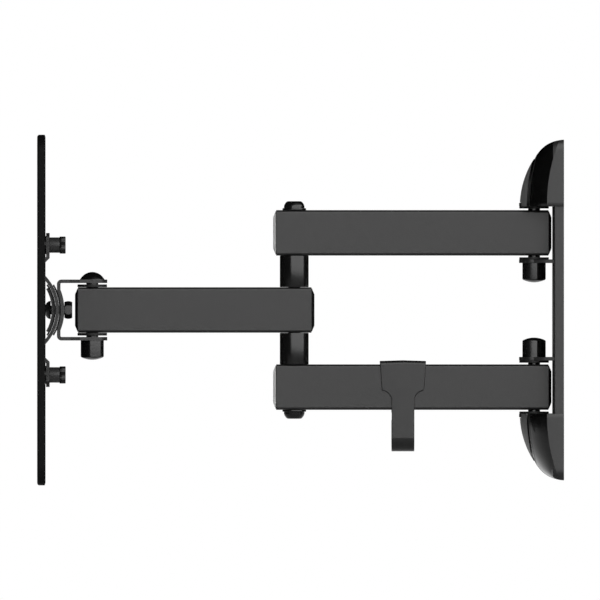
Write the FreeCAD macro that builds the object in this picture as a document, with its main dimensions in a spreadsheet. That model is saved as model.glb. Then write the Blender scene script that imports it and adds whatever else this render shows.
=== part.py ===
"""A full motion wall mount for a flat television, as a parametric document.

The wall is the plane y = 0, and the mount reaches out from it along -Y. Z is up, and the
origin is the middle of the wall plate's back face. "Reach" is a distance from the wall, so a
point at a reach of 100 has y = -100. All lengths are in millimetres, all angles in degrees.
"""
import FreeCAD, Part
import math
import os
import Sketcher

doc = FreeCAD.newDocument("tv_wall_mount")

# ---------------------------------------------------------------------------------------
# Driving sizes
# ---------------------------------------------------------------------------------------
DRIVING_SIZES = {
    # wall plate
    "wall_plate_end_gap": 1.9,
    "wall_plate_width": 70.0,
    "wall_plate_depth": 6.5,
    "wall_plate_sheet": 2.5,
    "wall_plate_round": 0.8,
    "wall_hole_radius": 4.0,
    "wall_hole_spacing_wide": 40.0,
    "wall_hole_spacing_tall": 180.0,
    # covers
    "cover_length": 43.8,
    "cover_side_gap": 0.5,
    "cover_past_pivot": 9.5,
    "cover_skin": 1.8,
    "cover_side_depth": 10.0,
    "cover_top_round": 20.0,
    "cover_side_round": 12.0,
    "cover_gap": 0.3,
    # arms
    "shoulder_reach": 19.1,
    "rear_link": 158.3,
    "front_link": 133.3,
    "arm_level": 50.9,
    "arm_height": 30.0,
    "arm_width": 15.0,
    "arm_sheet": 1.5,
    "arm_round": 1.8,
    "pivot_end": 9.4,
    "rear_elbow_end": 11.9,
    "front_elbow_end": 11.3,
    # end caps
    "cap_proud": 2.0,
    "cap_bevel_tall": 4.6,
    "cap_bevel_wide": 3.2,
    "cap_rim": 0.3,
    "plug_length": 3.0,
    "plug_wall": 1.4,
    "plug_gap": 0.1,
    # pivots at the wall
    "ear_sheet": 2.4,
    "ear_radius": 9.9,
    "ear_base_half": 16.0,
    "pivot_gap": 1.1,
    "washer_radius": 9.75,
    "washer_sheet": 1.4,
    "pivot_bolt_radius": 3.95,
    "running_gap": 0.05,
    "bush_radius": 5.9,
    "nut_flats": 13.0,
    "nut_height": 6.5,
    "bolt_head_height": 4.0,
    "bolt_overhang": 1.5,
    "nut_cap_flats": 14.4,
    "nut_cap_height": 12.8,
    "nut_cap_dome": 2.3,
    "wall_nut_facing": -14.0,
    "head_nut_facing": 17.0,
    # elbow
    "elbow_rod_radius": 4.0,
    "post_radius": 9.5,
    "sliding_gap": 0.1,
    "cap_nut_flange_radius": 7.8,
    "cap_nut_flange": 1.3,
    "cap_nut_radius": 6.5,
    "cap_nut_top_radius": 4.75,
    "cap_nut_height": 5.9,
    "cap_nut_bore_depth": 4.0,
    # head
    "head_washer_sheet": 1.9,
    "head_gap": 0.9,
    "bracket_sheet": 2.3,
    "bracket_half_width": 17.0,
    "web_half_height": 13.0,
    "bracket_bend": 3.0,
    "bracket_shoulder": 12.0,
    "tongue_radius": 9.9,
    "head_dome_radius": 8.1,
    "head_dome_height": 5.0,
    # tilt stack, as radii about the tilt axis
    "web_past_head": 18.4,
    "web_radius": 36.1,
    "pad_sheet": 1.05,
    "stack_gap": 0.12,
    "pad_half_width": 15.0,
    "outer_pad_angle": 30.0,
    "inner_pad_angle": 34.0,
    "clamp_sheet": 1.5,
    "clamp_half_width": 13.0,
    "clamp_angle": 30.0,
    "tilt_range": 15.0,
    "tilt_bolt_radius": 3.0,
    "tilt_bolt_gap": 0.25,
    "tilt_head_radius": 6.0,
    "tilt_head_height": 3.6,
    "tilt_head_top_radius": 2.6,
    "tilt_nut_flats": 10.2,
    "tilt_nut_height": 5.2,
    # tilt plate
    "tilt_sheet": 2.2,
    "tilt_plate_half_width": 34.0,
    "foot_length": 7.0,
    "ear_length": 20.2,
    "ear_lift": 3.7,
    "ear_notch_half": 12.0,
    "ear_round": 4.0,
    # television plate
    "tv_plate_side": 230.0,
    "tv_plate_depth": 5.0,
    "tv_plate_setback": 18.4,
    "tv_plate_sheet": 2.0,
    "tv_plate_corner": 12.0,
    "tv_plate_bend": 1.6,
    "vesa_large": 200.0,
    "vesa_middle": 100.0,
    "vesa_small": 75.0,
    "vesa_large_hole": 3.2,
    "vesa_hole": 2.6,
    "window_near": 62.0,
    "window_width": 26.0,
    "window_length": 92.0,
    "window_round": 8.0,
    "middle_window_wide": 33.0,
    "middle_window_tall": 48.0,
    # thumb screws
    "screw_across": 44.0,
    "screw_up_ear": 12.3,
    "screw_radius": 2.5,
    "screw_body_radius": 5.05,
    "screw_body": 6.7,
    "screw_grip_radius": 5.6,
    "screw_grip": 3.9,
    "boss_radius": 6.0,
    # cable clip
    "clip_before_elbow": 71.7,
    "clip_sheet": 1.8,
    "clip_gap": 0.15,
    "clip_wide": 30.4,
    "clip_narrow": 15.0,
    "clip_taper": 1.4,
    "clip_shoulder": 19.0,
    "clip_neck": 24.6,
    "clip_hang": 27.4,
    "clip_loop_radius": 9.0,
    "clip_loop_width": 18.0,
    "clip_mouth": 4.6,
    "clip_lip": 2.2,
}

sheet = doc.addObject("Spreadsheet::Sheet", "sizes")
for row, (name, number) in enumerate(DRIVING_SIZES.items(), start=1):
    sheet.set(f"A{row}", name)
    sheet.set(f"B{row}", str(number))
    sheet.setAlias(f"B{row}", name)
doc.recompute()


class Size:
    """A number of the mount: its value now, and the spreadsheet formula that gives it."""

    def __init__(self, value, formula):
        self.value = float(value)
        self.formula = formula

    def __add__(self, other):
        return Size(self.value + plain(other), f"({self.formula} + {written(other)})")

    def __radd__(self, other):
        return self + other

    def __sub__(self, other):
        return Size(self.value - plain(other), f"({self.formula} - {written(other)})")

    def __rsub__(self, other):
        return -self + other

    def __mul__(self, other):
        return Size(self.value * plain(other), f"({self.formula} * {written(other)})")

    def __rmul__(self, other):
        return self * other

    def __truediv__(self, other):
        return Size(self.value / plain(other), f"({self.formula} / {written(other)})")

    def __neg__(self):
        return Size(-self.value, f"(-1 * {self.formula})")


def plain(size):
    """The value of a Size, or of a plain number."""
    return size.value if isinstance(size, Size) else float(size)


def written(size):
    """The text of a Size in a formula, or of a plain number."""
    return size.formula if isinstance(size, Size) else f"({float(size):.9f})"


def root(size):
    """The square root of a Size."""
    return Size(math.sqrt(size.value), f"sqrt({size.formula})")


def sine(angle):
    """The sine of a Size in degrees."""
    return Size(math.sin(math.radians(angle.value)), f"sin({angle.formula} * 1 deg)")


def cosine(angle):
    """The cosine of a Size in degrees."""
    return Size(math.cos(math.radians(angle.value)), f"cos({angle.formula} * 1 deg)")


def side_of(hypotenuse, leg):
    """The other leg of a right triangle."""
    return root(hypotenuse * hypotenuse - leg * leg)


class SheetSizes:
    """The spreadsheet's cells as attributes, each a Size."""

    def __getattr__(self, name):
        return Size(sheet.get(name), f"sizes.{name}")


S = SheetSizes()

# ---------------------------------------------------------------------------------------
# Places that several pieces share
# ---------------------------------------------------------------------------------------
elbow_reach = S.shoulder_reach + S.rear_link
head_reach = elbow_reach + S.front_link
arm_half = S.arm_height / 2
arm_side = S.arm_width / 2
ear_near = arm_half + S.pivot_gap + S.washer_sheet      # from an arm's middle to the ear
ear_far = ear_near + S.ear_sheet
bracket_near = arm_half + S.head_washer_sheet + S.head_gap
bracket_far = bracket_near + S.bracket_sheet
web_inner = S.web_radius - S.bracket_sheet
arch_outer = web_inner - S.pad_sheet - S.stack_gap
arch_inner = arch_outer - S.tilt_sheet
clamp_outer = arch_inner - S.stack_gap - S.pad_sheet
clamp_inner = clamp_outer - S.clamp_sheet
web_reach = head_reach + S.web_past_head
tilt_axis_reach = web_reach + S.web_radius
tilt_head_reach = tilt_axis_reach - side_of(clamp_inner, S.tilt_head_radius)
tv_plate_reach = tilt_axis_reach - S.tv_plate_setback
tv_floor_reach = tv_plate_reach - S.tv_plate_sheet
foot_reach = tv_floor_reach - S.tilt_sheet
ear_reach = foot_reach - S.ear_lift                     # the wall side of the tilt plate's ears
arch_foot_outer = side_of(arch_outer, tilt_axis_reach - foot_reach)
arch_foot_inner = side_of(arch_inner, tilt_axis_reach - tv_floor_reach)
ear_start = arch_foot_outer + S.foot_length
ear_end = ear_start + S.ear_length
screw_level = ear_start + S.screw_up_ear
cover_foot = S.arm_level + ear_near
cover_top = cover_foot + S.cover_length
cover_width = S.wall_plate_width + (S.cover_side_gap + S.cover_skin) * 2
cover_depth = S.shoulder_reach + S.cover_past_pivot
wall_plate_height = (cover_top - S.cover_skin - S.wall_plate_end_gap) * 2
clip_reach = elbow_reach - S.clip_before_elbow

UPPER = 1
LOWER = -1
SIDE_NAMES = {UPPER: "upper", LOWER: "lower"}
TURNED_TO_WALL = FreeCAD.Rotation(FreeCAD.Vector(1, 0, 0), -90)
HALF_ROOT_THREE = math.sqrt(3) / 2
NUT_END_SHARE = 1.06      # how far a nut's round end face reaches past its flats, squared

nodes = []          # every finished sub-part, in the order it was made


# ---------------------------------------------------------------------------------------
# Helpers
# ---------------------------------------------------------------------------------------
def bind(item, path, size):
    """Tie a property to the spreadsheet, or set it where the size is a plain number."""
    if isinstance(size, Size):
        item.setExpression(path, size.formula)
    else:
        item.setExpression(path, written(size))


def place(item, x=0, y=0, z=0, rotation=None):
    """Put an object at a point given by Sizes."""
    if rotation is not None:
        item.Placement = FreeCAD.Placement(FreeCAD.Vector(0, 0, 0), rotation)
    for name, size in zip("xyz", (x, y, z)):
        bind(item, f"Placement.Base.{name}", size)
    return item


def keep(item, label):
    """Name a finished sub-part after its node."""
    item.Label = label
    nodes.append(item)
    return item


def solid(kind, name, **sizes):
    """A Part primitive with its properties tied to the spreadsheet."""
    item = doc.addObject(f"Part::{kind}", name)
    for path, size in sizes.items():
        bind(item, path, size)
    return item


def cut(base, tool):
    """The base with the tool taken away."""
    item = doc.addObject("Part::Cut", "cut")
    item.Base = base
    item.Tool = tool
    return item


def common(base, tool):
    """What the base and the tool share."""
    item = doc.addObject("Part::Common", "common")
    item.Base = base
    item.Tool = tool
    return item


def group(items):
    """Several separate solids as one object."""
    item = doc.addObject("Part::Compound", "group")
    item.Links = items
    return item


def new_body(name):
    return doc.addObject("PartDesign::Body", f"{name}_body")


def sketch_on(body, plane, offset=0):
    """A sketch on one of a body's own origin planes, moved along the plane's normal."""
    sketch = body.newObject("Sketcher::SketchObject", "outline")
    origin_plane = next(item for item in body.Origin.OriginFeatures if item.Role == plane)
    sketch.AttachmentSupport = [(origin_plane, "")]
    sketch.MapMode = "FlatFace"
    bind(sketch, "AttachmentOffset.Base.z", offset)
    return sketch


def dimension(sketch, constraint, size):
    """Add a constraint and tie its value to the spreadsheet."""
    number = sketch.addConstraint(constraint)
    bind(sketch, f"Constraints[{number}]", size)


def pin(sketch, curve, end, x, y):
    """Dimension a point of a curve from the sketch's origin."""
    dimension(sketch, Sketcher.Constraint("DistanceX", -1, 1, curve, end, plain(x)), x)
    dimension(sketch, Sketcher.Constraint("DistanceY", -1, 1, curve, end, plain(y)), y)


def arc_between(start, end, radius, turn):
    """The shorter arc from start to end; turn is 1 for counter-clockwise, -1 for clockwise."""
    chord = end - start
    to_centre = FreeCAD.Vector(-chord.y, chord.x, 0).normalize() * turn
    rise = math.sqrt(max(0.0, radius ** 2 - (chord.Length / 2) ** 2))
    centre = (start + end) / 2 + to_centre * rise
    first, last = (start, end) if turn > 0 else (end, start)
    angles = [math.atan2(point.y - centre.y, point.x - centre.x) for point in (first, last)]
    circle = Part.Circle(centre, FreeCAD.Vector(0, 0, 1), radius)
    return Part.ArcOfCircle(circle, angles[0], angles[1])


def outline(sketch, steps):
    """Draw a closed outline.

    Each step is a corner (x, y), and a corner (x, y, radius, turn) starts an arc to the next.
    """
    points = [FreeCAD.Vector(plain(step[0]), plain(step[1]), 0) for step in steps]
    ends = []
    for number, step in enumerate(steps):
        start = points[number]
        end = points[(number + 1) % len(points)]
        if len(step) == 2:
            curve = sketch.addGeometry(Part.LineSegment(start, end))
            ends.append((curve, 1, 2))
        else:
            radius, turn = step[2:]
            curve = sketch.addGeometry(arc_between(start, end, plain(radius), turn))
            ends.append((curve, 1, 2) if turn > 0 else (curve, 2, 1))
    for number, (curve, _, last) in enumerate(ends):
        following, first, _ = ends[(number + 1) % len(ends)]
        sketch.addConstraint(Sketcher.Constraint("Coincident", curve, last, following, first))
    for step, (curve, first, _) in zip(steps, ends):
        pin(sketch, curve, first, step[0], step[1])
        if len(step) > 2:
            dimension(sketch, Sketcher.Constraint("Radius", curve, plain(step[2])), step[2])


def circle(sketch, radius, x=0, y=0):
    """Draw a circle."""
    centre = FreeCAD.Vector(plain(x), plain(y), 0)
    curve = sketch.addGeometry(Part.Circle(centre, FreeCAD.Vector(0, 0, 1), plain(radius)))
    dimension(sketch, Sketcher.Constraint("Radius", curve, plain(radius)), radius)
    pin(sketch, curve, 3, x, y)


def rectangle(sketch, half_wide, half_tall, radius=None, x=0, y=0):
    """Draw a rectangle about (x, y), with rounded corners where a radius is given."""
    steps = []
    for across, up, start_level in ((1, 1, 1), (-1, 1, 0), (-1, -1, 1), (1, -1, 0)):
        corner = (x + half_wide * across, y + half_tall * up)
        if radius is None:
            steps.append(corner)
            continue
        beside = (corner[0], corner[1] - radius * up)
        along = (corner[0] - radius * across, corner[1])
        first, last = (beside, along) if start_level else (along, beside)
        steps += [(*first, radius, 1), last]
    outline(sketch, steps)


def hexagon(sketch, flats):
    """Draw a hexagon about the sketch's origin, with corners on its x axis."""
    corner = flats / 2 / HALF_ROOT_THREE
    angles = [math.radians(60 * number) for number in range(6)]
    outline(sketch, [(corner * math.cos(angle), corner * math.sin(angle)) for angle in angles])


def pad(body, sketch, length, both_ways=False, against_normal=False):
    """Give a sketch a thickness."""
    feature = body.newObject("PartDesign::Pad", "pad")
    feature.Profile = sketch
    bind(feature, "Length", length)
    feature.Midplane = both_ways
    feature.Reversed = against_normal
    return feature


def pocket(body, sketch, length=None, against_normal=False):
    """Cut a sketch into a body, right through both ways where no length is given."""
    doc.recompute()
    before = body.Shape.Volume
    feature = body.newObject("PartDesign::Pocket", "pocket")
    feature.Profile = sketch
    if length is None:
        feature.Type = "ThroughAll"
        feature.Midplane = True
    else:
        bind(feature, "Length", length)
        feature.Reversed = against_normal
    doc.recompute()
    if body.Shape.Volume >= before:
        raise RuntimeError(f"a pocket in {body.Name} cuts nothing")
    return feature


def fillet(body, feature, radius, wanted):
    """Round the edges whose middle point passes a test."""
    doc.recompute()
    names = [
        f"Edge{number}"
        for number, edge in enumerate(feature.Shape.Edges, start=1)
        if wanted(edge.valueAt((edge.FirstParameter + edge.LastParameter) / 2))
    ]
    rounding = body.newObject("PartDesign::Fillet", "fillet")
    rounding.Base = (feature, names)
    bind(rounding, "Radius", radius)
    return rounding


def turned(name, steps, x=0, y=0, z=0, rotation=None):
    """A round piece: steps are (radius, height) corners of its half section."""
    body = new_body(name)
    sketch = sketch_on(body, "XZ_Plane")
    outline(sketch, steps)
    feature = body.newObject("PartDesign::Revolution", "revolution")
    feature.Profile = sketch
    feature.ReferenceAxis = (sketch, ["V_Axis"])
    feature.Angle = 360.0
    return place(body, x, y, z, rotation)


def ring(name, inner, outer, low, high, **where):
    """A plain ring from one height to another."""
    return turned(name, [(inner, low), (outer, low), (outer, high), (inner, high)], **where)


def near(value, target):
    return abs(value - plain(target)) < 1e-4


# ---------------------------------------------------------------------------------------
# Wall plate, pivot brackets and covers
# ---------------------------------------------------------------------------------------
def wall_plate():
    """A shallow channel, its web on the wall, with holes for the wall screws."""
    body = new_body("wall_plate")
    half_wide = S.wall_plate_width / 2
    lip = half_wide - S.wall_plate_sheet
    section = sketch_on(body, "XY_Plane")
    outline(section, [
        (half_wide, 0),
        (half_wide, -S.wall_plate_depth),
        (lip, -S.wall_plate_depth),
        (lip, -S.wall_plate_sheet),
        (-lip, -S.wall_plate_sheet),
        (-lip, -S.wall_plate_depth),
        (-half_wide, -S.wall_plate_depth),
        (-half_wide, 0),
    ])
    channel = pad(body, section, wall_plate_height, both_ways=True)
    fillet(body, channel, S.wall_plate_round,
           lambda point: near(abs(point.x), half_wide) and near(point.y, -S.wall_plate_depth))
    holes = sketch_on(body, "XZ_Plane")
    for across in (-1, 1):
        for up in (-1, 1):
            circle(holes, S.wall_hole_radius, S.wall_hole_spacing_wide / 2 * across,
                   S.wall_hole_spacing_tall / 2 * up)
    pocket(body, holes)
    keep(body, "wall_plate")


def pivot_bracket(side):
    """A base welded in the channel, with an ear above and an ear below the arm."""
    name = f"{SIDE_NAMES[side]}_pivot_bracket"
    body = new_body(name)
    back = S.wall_plate_sheet
    front = back + S.ear_sheet
    section = sketch_on(body, "YZ_Plane")
    tip = S.shoulder_reach + S.ear_radius
    outline(section, [
        (-back, ear_far), (-tip, ear_far), (-tip, ear_near), (-front, ear_near),
        (-front, -ear_near), (-tip, -ear_near), (-tip, -ear_far), (-back, -ear_far),
    ])
    pad(body, section, S.ear_base_half * 2, both_ways=True)
    for across in (-1, 1):
        sides = sketch_on(body, "XY_Plane")
        beyond = S.ear_base_half + 1
        outline(sides, [
            (0, -tip - 1),
            (0, -tip, S.ear_radius, across),
            (S.ear_radius * across, -S.shoulder_reach),
            (S.ear_base_half * across, -S.wall_plate_depth),
            (beyond * across, -S.wall_plate_depth),
            (beyond * across, -tip - 1),
        ])
        pocket(body, sides)
    bore = sketch_on(body, "XY_Plane")
    circle(bore, S.pivot_bolt_radius + S.running_gap, 0, -S.shoulder_reach)
    pocket(body, bore)
    place(body, z=S.arm_level * side)
    keep(body, name)


def oval_arcs(half_long, half_short, small_radius):
    """The large radius of a quarter oval, and where its small arc meets its large one.

    The small arc starts at the oval's long end, the large one runs over its middle.
    """
    large_radius = (
        (half_long - small_radius) * (half_long - small_radius)
        + half_short * half_short - small_radius * small_radius
    ) / ((half_short - small_radius) * 2)
    span = large_radius - small_radius
    join_long = (half_long - small_radius) * large_radius / span
    join_short = half_short - large_radius + (large_radius - half_short) * large_radius / span
    return large_radius, join_long, join_short


def extrusion(sketch, direction, length):
    """A sketch made solid along a direction, the same both ways."""
    item = doc.addObject("Part::Extrusion", "extrusion")
    item.Base = sketch
    item.DirMode = "Custom"
    item.Dir = direction
    item.Solid = True
    item.Symmetric = True
    bind(item, "LengthFwd", length)
    return item


def cover_form(inset):
    """The cover's form, made smaller all round by an inset: side outline meets cross section."""
    foot = cover_foot
    length = cover_top - foot - inset
    depth = cover_depth - inset
    top_round = S.cover_top_round - inset
    large, join_up, join_out = oval_arcs(length, depth, top_round)
    profile = doc.addObject("Sketcher::SketchObject", "cover_side_outline")
    profile.Placement = FreeCAD.Placement(
        FreeCAD.Vector(0, 0, 0), FreeCAD.Rotation(FreeCAD.Vector(1, 1, 1), 120))
    beyond = 1
    outline(profile, [
        (beyond, foot - beyond),
        (beyond, foot + length),
        (0, foot + length, top_round, 1),
        (-join_out, foot + join_up, large, 1),
        (-depth, foot),
        (-depth, foot - beyond),
    ])
    half_wide = cover_width / 2 - inset
    side_depth = S.cover_side_depth
    dome = depth - side_depth
    side_round = S.cover_side_round - inset
    wide_large, join_wide, join_deep = oval_arcs(half_wide, dome, side_round)
    section = doc.addObject("Sketcher::SketchObject", "cover_cross_section")
    outline(section, [
        (half_wide, beyond),
        (-half_wide, beyond),
        (-half_wide, -side_depth, side_round, 1),
        (-join_wide, -side_depth - join_deep, wide_large, 1),
        (join_wide, -side_depth - join_deep, side_round, 1),
        (half_wide, -side_depth),
    ])
    along_x = extrusion(profile, FreeCAD.Vector(1, 0, 0), cover_width * 2)
    along_z = extrusion(section, FreeCAD.Vector(0, 0, 1), cover_top * 4)
    return common(along_x, along_z)


def covers():
    """Domed shells over both ends of the wall plate, open at the wall and towards the arms."""
    shell = cut(cover_form(0), cover_form(S.cover_skin))
    beside = cover_width
    ahead = cover_depth * 1.5
    behind_wall = place(
        solid("Box", "wall_side", Length=beside * 2, Width=cover_depth, Height=cover_top * 2),
        -beside, 0, 0)
    under_foot = place(
        solid("Box", "foot_side", Length=beside * 2, Width=cover_depth * 2, Height=cover_foot),
        -beside, -ahead, 0)
    notch_half = S.ear_radius + S.cover_gap
    notch_top = S.arm_level + ear_far + S.cover_gap
    notch = place(
        solid("Box", "ear_notch", Length=notch_half * 2, Width=cover_depth, Height=notch_top),
        -notch_half, -ahead, 0)
    upper = cut(cut(cut(shell, behind_wall), under_foot), notch)
    keep(upper, "upper_cover")
    lower = doc.addObject("Part::Mirroring", "lower_cover_mirror")
    lower.Source = upper
    lower.Normal = FreeCAD.Vector(0, 0, 1)
    keep(lower, "lower_cover")


# ---------------------------------------------------------------------------------------
# Bolts, nuts and caps
# ---------------------------------------------------------------------------------------
def hex_nut(name, flats, height, bore):
    """A hexagon nut standing on the origin, its corners rounded off at both ends."""
    corner = flats / 2 / HALF_ROOT_THREE
    prism = solid("Prism", f"{name}_prism", Circumradius=corner, Height=height)
    ball_radius = root(flats * flats / 4 * NUT_END_SHARE + height * height / 4)
    ball = place(solid("Sphere", f"{name}_ball", Radius=ball_radius), z=height / 2)
    hole = place(solid("Cylinder", f"{name}_bore", Radius=bore, Height=height * 2), z=-height / 2)
    return cut(common(prism, ball), hole)


def nut_cap(name):
    """A hexagonal plastic cap with a domed end, standing on the origin over its nut."""
    corner = S.nut_cap_flats / 2 / HALF_ROOT_THREE
    prism = solid("Prism", f"{name}_prism", Circumradius=corner, Height=S.nut_cap_height)
    ball_radius = (corner * corner + S.nut_cap_dome * S.nut_cap_dome) / (S.nut_cap_dome * 2)
    ball = place(solid("Sphere", f"{name}_ball", Radius=ball_radius), z=S.nut_cap_height - ball_radius)
    nut_corner = (S.nut_flats / 2 + S.sliding_gap) / HALF_ROOT_THREE
    socket = solid("Prism", f"{name}_socket", Circumradius=nut_corner, Height=S.nut_height + S.sliding_gap)
    bolt_room = solid("Cylinder", f"{name}_bolt_room", Radius=S.pivot_bolt_radius + S.clip_gap,
                      Height=S.nut_cap_height - S.nut_cap_dome)
    return cut(cut(common(prism, ball), socket), bolt_room)


def up_or_down(side):
    """The rotation that points a piece's own +Z up or down."""
    return FreeCAD.Rotation(FreeCAD.Vector(1, 0, 0), 0 if side == UPPER else 180)


def turned_hex(side, facing):
    """Up or down, with one flat of the hexagon facing an angle from +X towards +Y."""
    first_flat = 30
    spin = facing.value * side - first_flat
    return up_or_down(side).multiply(FreeCAD.Rotation(FreeCAD.Vector(0, 0, 1), spin))


def shoulder_fasteners(side):
    """The bolt, washers, nut and nut cap of one wall pivot."""
    half = SIDE_NAMES[side]
    level = S.arm_level * side
    bolt_end = -ear_far - S.nut_height - S.bolt_overhang
    bolt = new_body("pivot_bolt")
    head = sketch_on(bolt, "XY_Plane", ear_far)
    hexagon(head, S.nut_flats)
    pad(bolt, head, S.bolt_head_height)
    shank = sketch_on(bolt, "XY_Plane", ear_far)
    circle(shank, S.pivot_bolt_radius)
    pad(bolt, shank, ear_far - bolt_end, against_normal=True)
    place(bolt, 0, -S.shoulder_reach, level, up_or_down(side))
    keep(bolt, f"{half}_pivot_bolt")
    inner = S.pivot_bolt_radius + S.running_gap
    washers = [
        ring("pivot_washer", inner, S.washer_radius, low, low + S.washer_sheet,
             y=-S.shoulder_reach, z=level)
        for low in (ear_near - S.washer_sheet, -ear_near)
    ]
    keep(group(washers), f"{half}_pivot_washers")
    nut = hex_nut("pivot_nut", S.nut_flats, S.nut_height, S.pivot_bolt_radius + S.running_gap)
    cap = nut_cap("pivot_cap")
    for item, label in ((nut, "pivot_nut"), (cap, "pivot_nut_cap")):
        place(item, 0, -S.shoulder_reach, level - ear_far * side, turned_hex(-side, S.wall_nut_facing))
        keep(item, f"{half}_{label}")


def elbow_fasteners():
    """The rod through the elbow, its spacer posts and its cap nuts."""
    top = S.arm_level + arm_half
    rod_end = top + S.cap_nut_bore_depth - S.sliding_gap
    rod = turned("elbow_rod", [(0, -rod_end), (S.elbow_rod_radius, -rod_end),
                               (S.elbow_rod_radius, rod_end), (0, rod_end)], y=-elbow_reach)
    keep(rod, "elbow_rod")
    bore = S.elbow_rod_radius + S.running_gap
    for side in (UPPER, LOWER):
        half = SIDE_NAMES[side]
        low = (arm_half + S.sliding_gap) * side
        high = (S.arm_level - arm_half) * side
        keep(ring("spacer_post", bore, S.post_radius, low, high, y=-elbow_reach), f"{half}_spacer_post")
        flange = S.cap_nut_flange
        steps = [
            (0, S.cap_nut_bore_depth), (bore, S.cap_nut_bore_depth), (bore, 0),
            (S.cap_nut_flange_radius, 0), (S.cap_nut_flange_radius, flange), (S.cap_nut_radius, flange),
            (S.cap_nut_top_radius, S.cap_nut_height), (0, S.cap_nut_height),
        ]
        nut = turned("cap_nut", steps, y=-elbow_reach, z=top * side, rotation=up_or_down(side))
        keep(nut, f"elbow_{'top' if side == UPPER else 'bottom'}_cap_nut")


def head_fasteners():
    """The bolt, washers, nut and nut cap of the head pivot."""
    shank_end = -bracket_far - S.nut_height - S.bolt_overhang
    dome_ball = (S.head_dome_radius * S.head_dome_radius
                 + S.head_dome_height * S.head_dome_height) / (S.head_dome_height * 2)
    top = bracket_far + S.head_dome_height
    bolt = turned("head_pivot_bolt", [
        (0, shank_end), (S.pivot_bolt_radius, shank_end), (S.pivot_bolt_radius, bracket_far),
        (S.head_dome_radius, bracket_far, dome_ball, 1), (0, top),
    ], y=-head_reach)
    keep(bolt, "head_pivot_bolt")
    inner = S.pivot_bolt_radius + S.running_gap
    washers = [
        ring("head_washer", inner, S.washer_radius, low, low + S.head_washer_sheet - S.sliding_gap,
             y=-head_reach)
        for low in (arm_half + S.sliding_gap, -arm_half - S.head_washer_sheet)
    ]
    keep(group(washers), "head_washers")
    nut = hex_nut("head_nut", S.nut_flats, S.nut_height, S.pivot_bolt_radius + S.running_gap)
    cap = nut_cap("head_cap")
    for item, label in ((nut, "head_pivot_nut"), (cap, "head_nut_cap")):
        place(item, 0, -head_reach, -bracket_far, turned_hex(LOWER, S.head_nut_facing))
        keep(item, label)


# ---------------------------------------------------------------------------------------
# Arms
# ---------------------------------------------------------------------------------------
def arm_tube(label, start, end, level, pivots):
    """A rectangular tube from one reach to another, bored for the bushes of its pivots."""
    body = new_body(label)
    section = sketch_on(body, "XZ_Plane", start)
    rectangle(section, arm_side, arm_half, S.arm_round)
    rectangle(section, arm_side - S.arm_sheet, arm_half - S.arm_sheet)
    pad(body, section, end - start)
    bores = sketch_on(body, "XY_Plane")
    for reach in pivots:
        circle(bores, S.bush_radius + S.running_gap, 0, -reach)
    pocket(body, bores)
    place(body, z=level)
    keep(body, label)


def end_cap(label, reach, level, towards_wall):
    """A plug in the end of an arm, with a bevelled face standing proud of it."""
    face_wide = arm_side - S.cap_bevel_wide
    face_tall = arm_half - S.cap_bevel_tall
    rim = S.cap_rim
    face = solid("Wedge", "cap_face",
                 Xmin=-arm_side, Xmax=arm_side, Zmin=-arm_half, Zmax=arm_half, Ymin=rim, Ymax=S.cap_proud,
                 X2min=-face_wide, X2max=face_wide, Z2min=-face_tall, Z2max=face_tall)
    rim_plate = place(solid("Box", "cap_rim", Length=arm_side * 2, Width=rim, Height=arm_half * 2),
                      -arm_side, 0, -arm_half)
    plug_wide = arm_side - S.arm_sheet - S.plug_gap
    plug_tall = arm_half - S.arm_sheet - S.plug_gap
    plug = place(solid("Box", "cap_plug", Length=plug_wide * 2, Width=S.plug_length, Height=plug_tall * 2),
                 -plug_wide, -S.plug_length, -plug_tall)
    hollow_wide = plug_wide - S.plug_wall
    hollow_tall = plug_tall - S.plug_wall
    hollow = place(
        solid("Box", "cap_hollow", Length=hollow_wide * 2, Width=S.plug_length, Height=hollow_tall * 2),
        -hollow_wide, -S.plug_length, -hollow_tall)
    whole = doc.addObject("Part::MultiFuse", "cap_fuse")
    whole.Shapes = [face, rim_plate, plug]
    whole.Refine = True
    cap = cut(whole, hollow)
    spin = FreeCAD.Rotation(FreeCAD.Vector(0, 0, 1), 0 if towards_wall else 180)
    place(cap, 0, -reach, level, spin)
    keep(cap, label)


def bush(label, reach, level, pin_radius):
    """A sleeve in an arm, flush with the arm's faces."""
    inner = pin_radius + S.running_gap
    keep(ring("bush", inner, S.bush_radius, -arm_half, arm_half, y=-reach, z=level), label)


def rear_arms():
    """The two arms on the wall, with their end caps and bushes."""
    start = S.shoulder_reach - S.pivot_end
    end = elbow_reach + S.rear_elbow_end
    for side in (UPPER, LOWER):
        half = SIDE_NAMES[side]
        level = S.arm_level * side
        arm_tube(f"{half}_rear_arm", start, end, level, (S.shoulder_reach, elbow_reach))
        end_cap(f"{half}_arm_wall_end_cap", start, level, True)
        end_cap(f"{half}_arm_elbow_end_cap", end, level, False)
        bush(f"{half}_arm_wall_bush", S.shoulder_reach, level, S.pivot_bolt_radius)
        bush(f"{half}_arm_elbow_bush", elbow_reach, level, S.elbow_rod_radius)


def front_arm():
    """The arm between the elbow and the head, with its end caps and bushes."""
    start = elbow_reach - S.front_elbow_end
    end = head_reach + S.pivot_end
    arm_tube("front_arm", start, end, 0, (elbow_reach, head_reach))
    end_cap("front_arm_elbow_end_cap", start, 0, True)
    end_cap("front_arm_head_end_cap", end, 0, False)
    bush("front_arm_elbow_bush", elbow_reach, 0, S.elbow_rod_radius)
    bush("front_arm_head_bush", head_reach, 0, S.pivot_bolt_radius)


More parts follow.
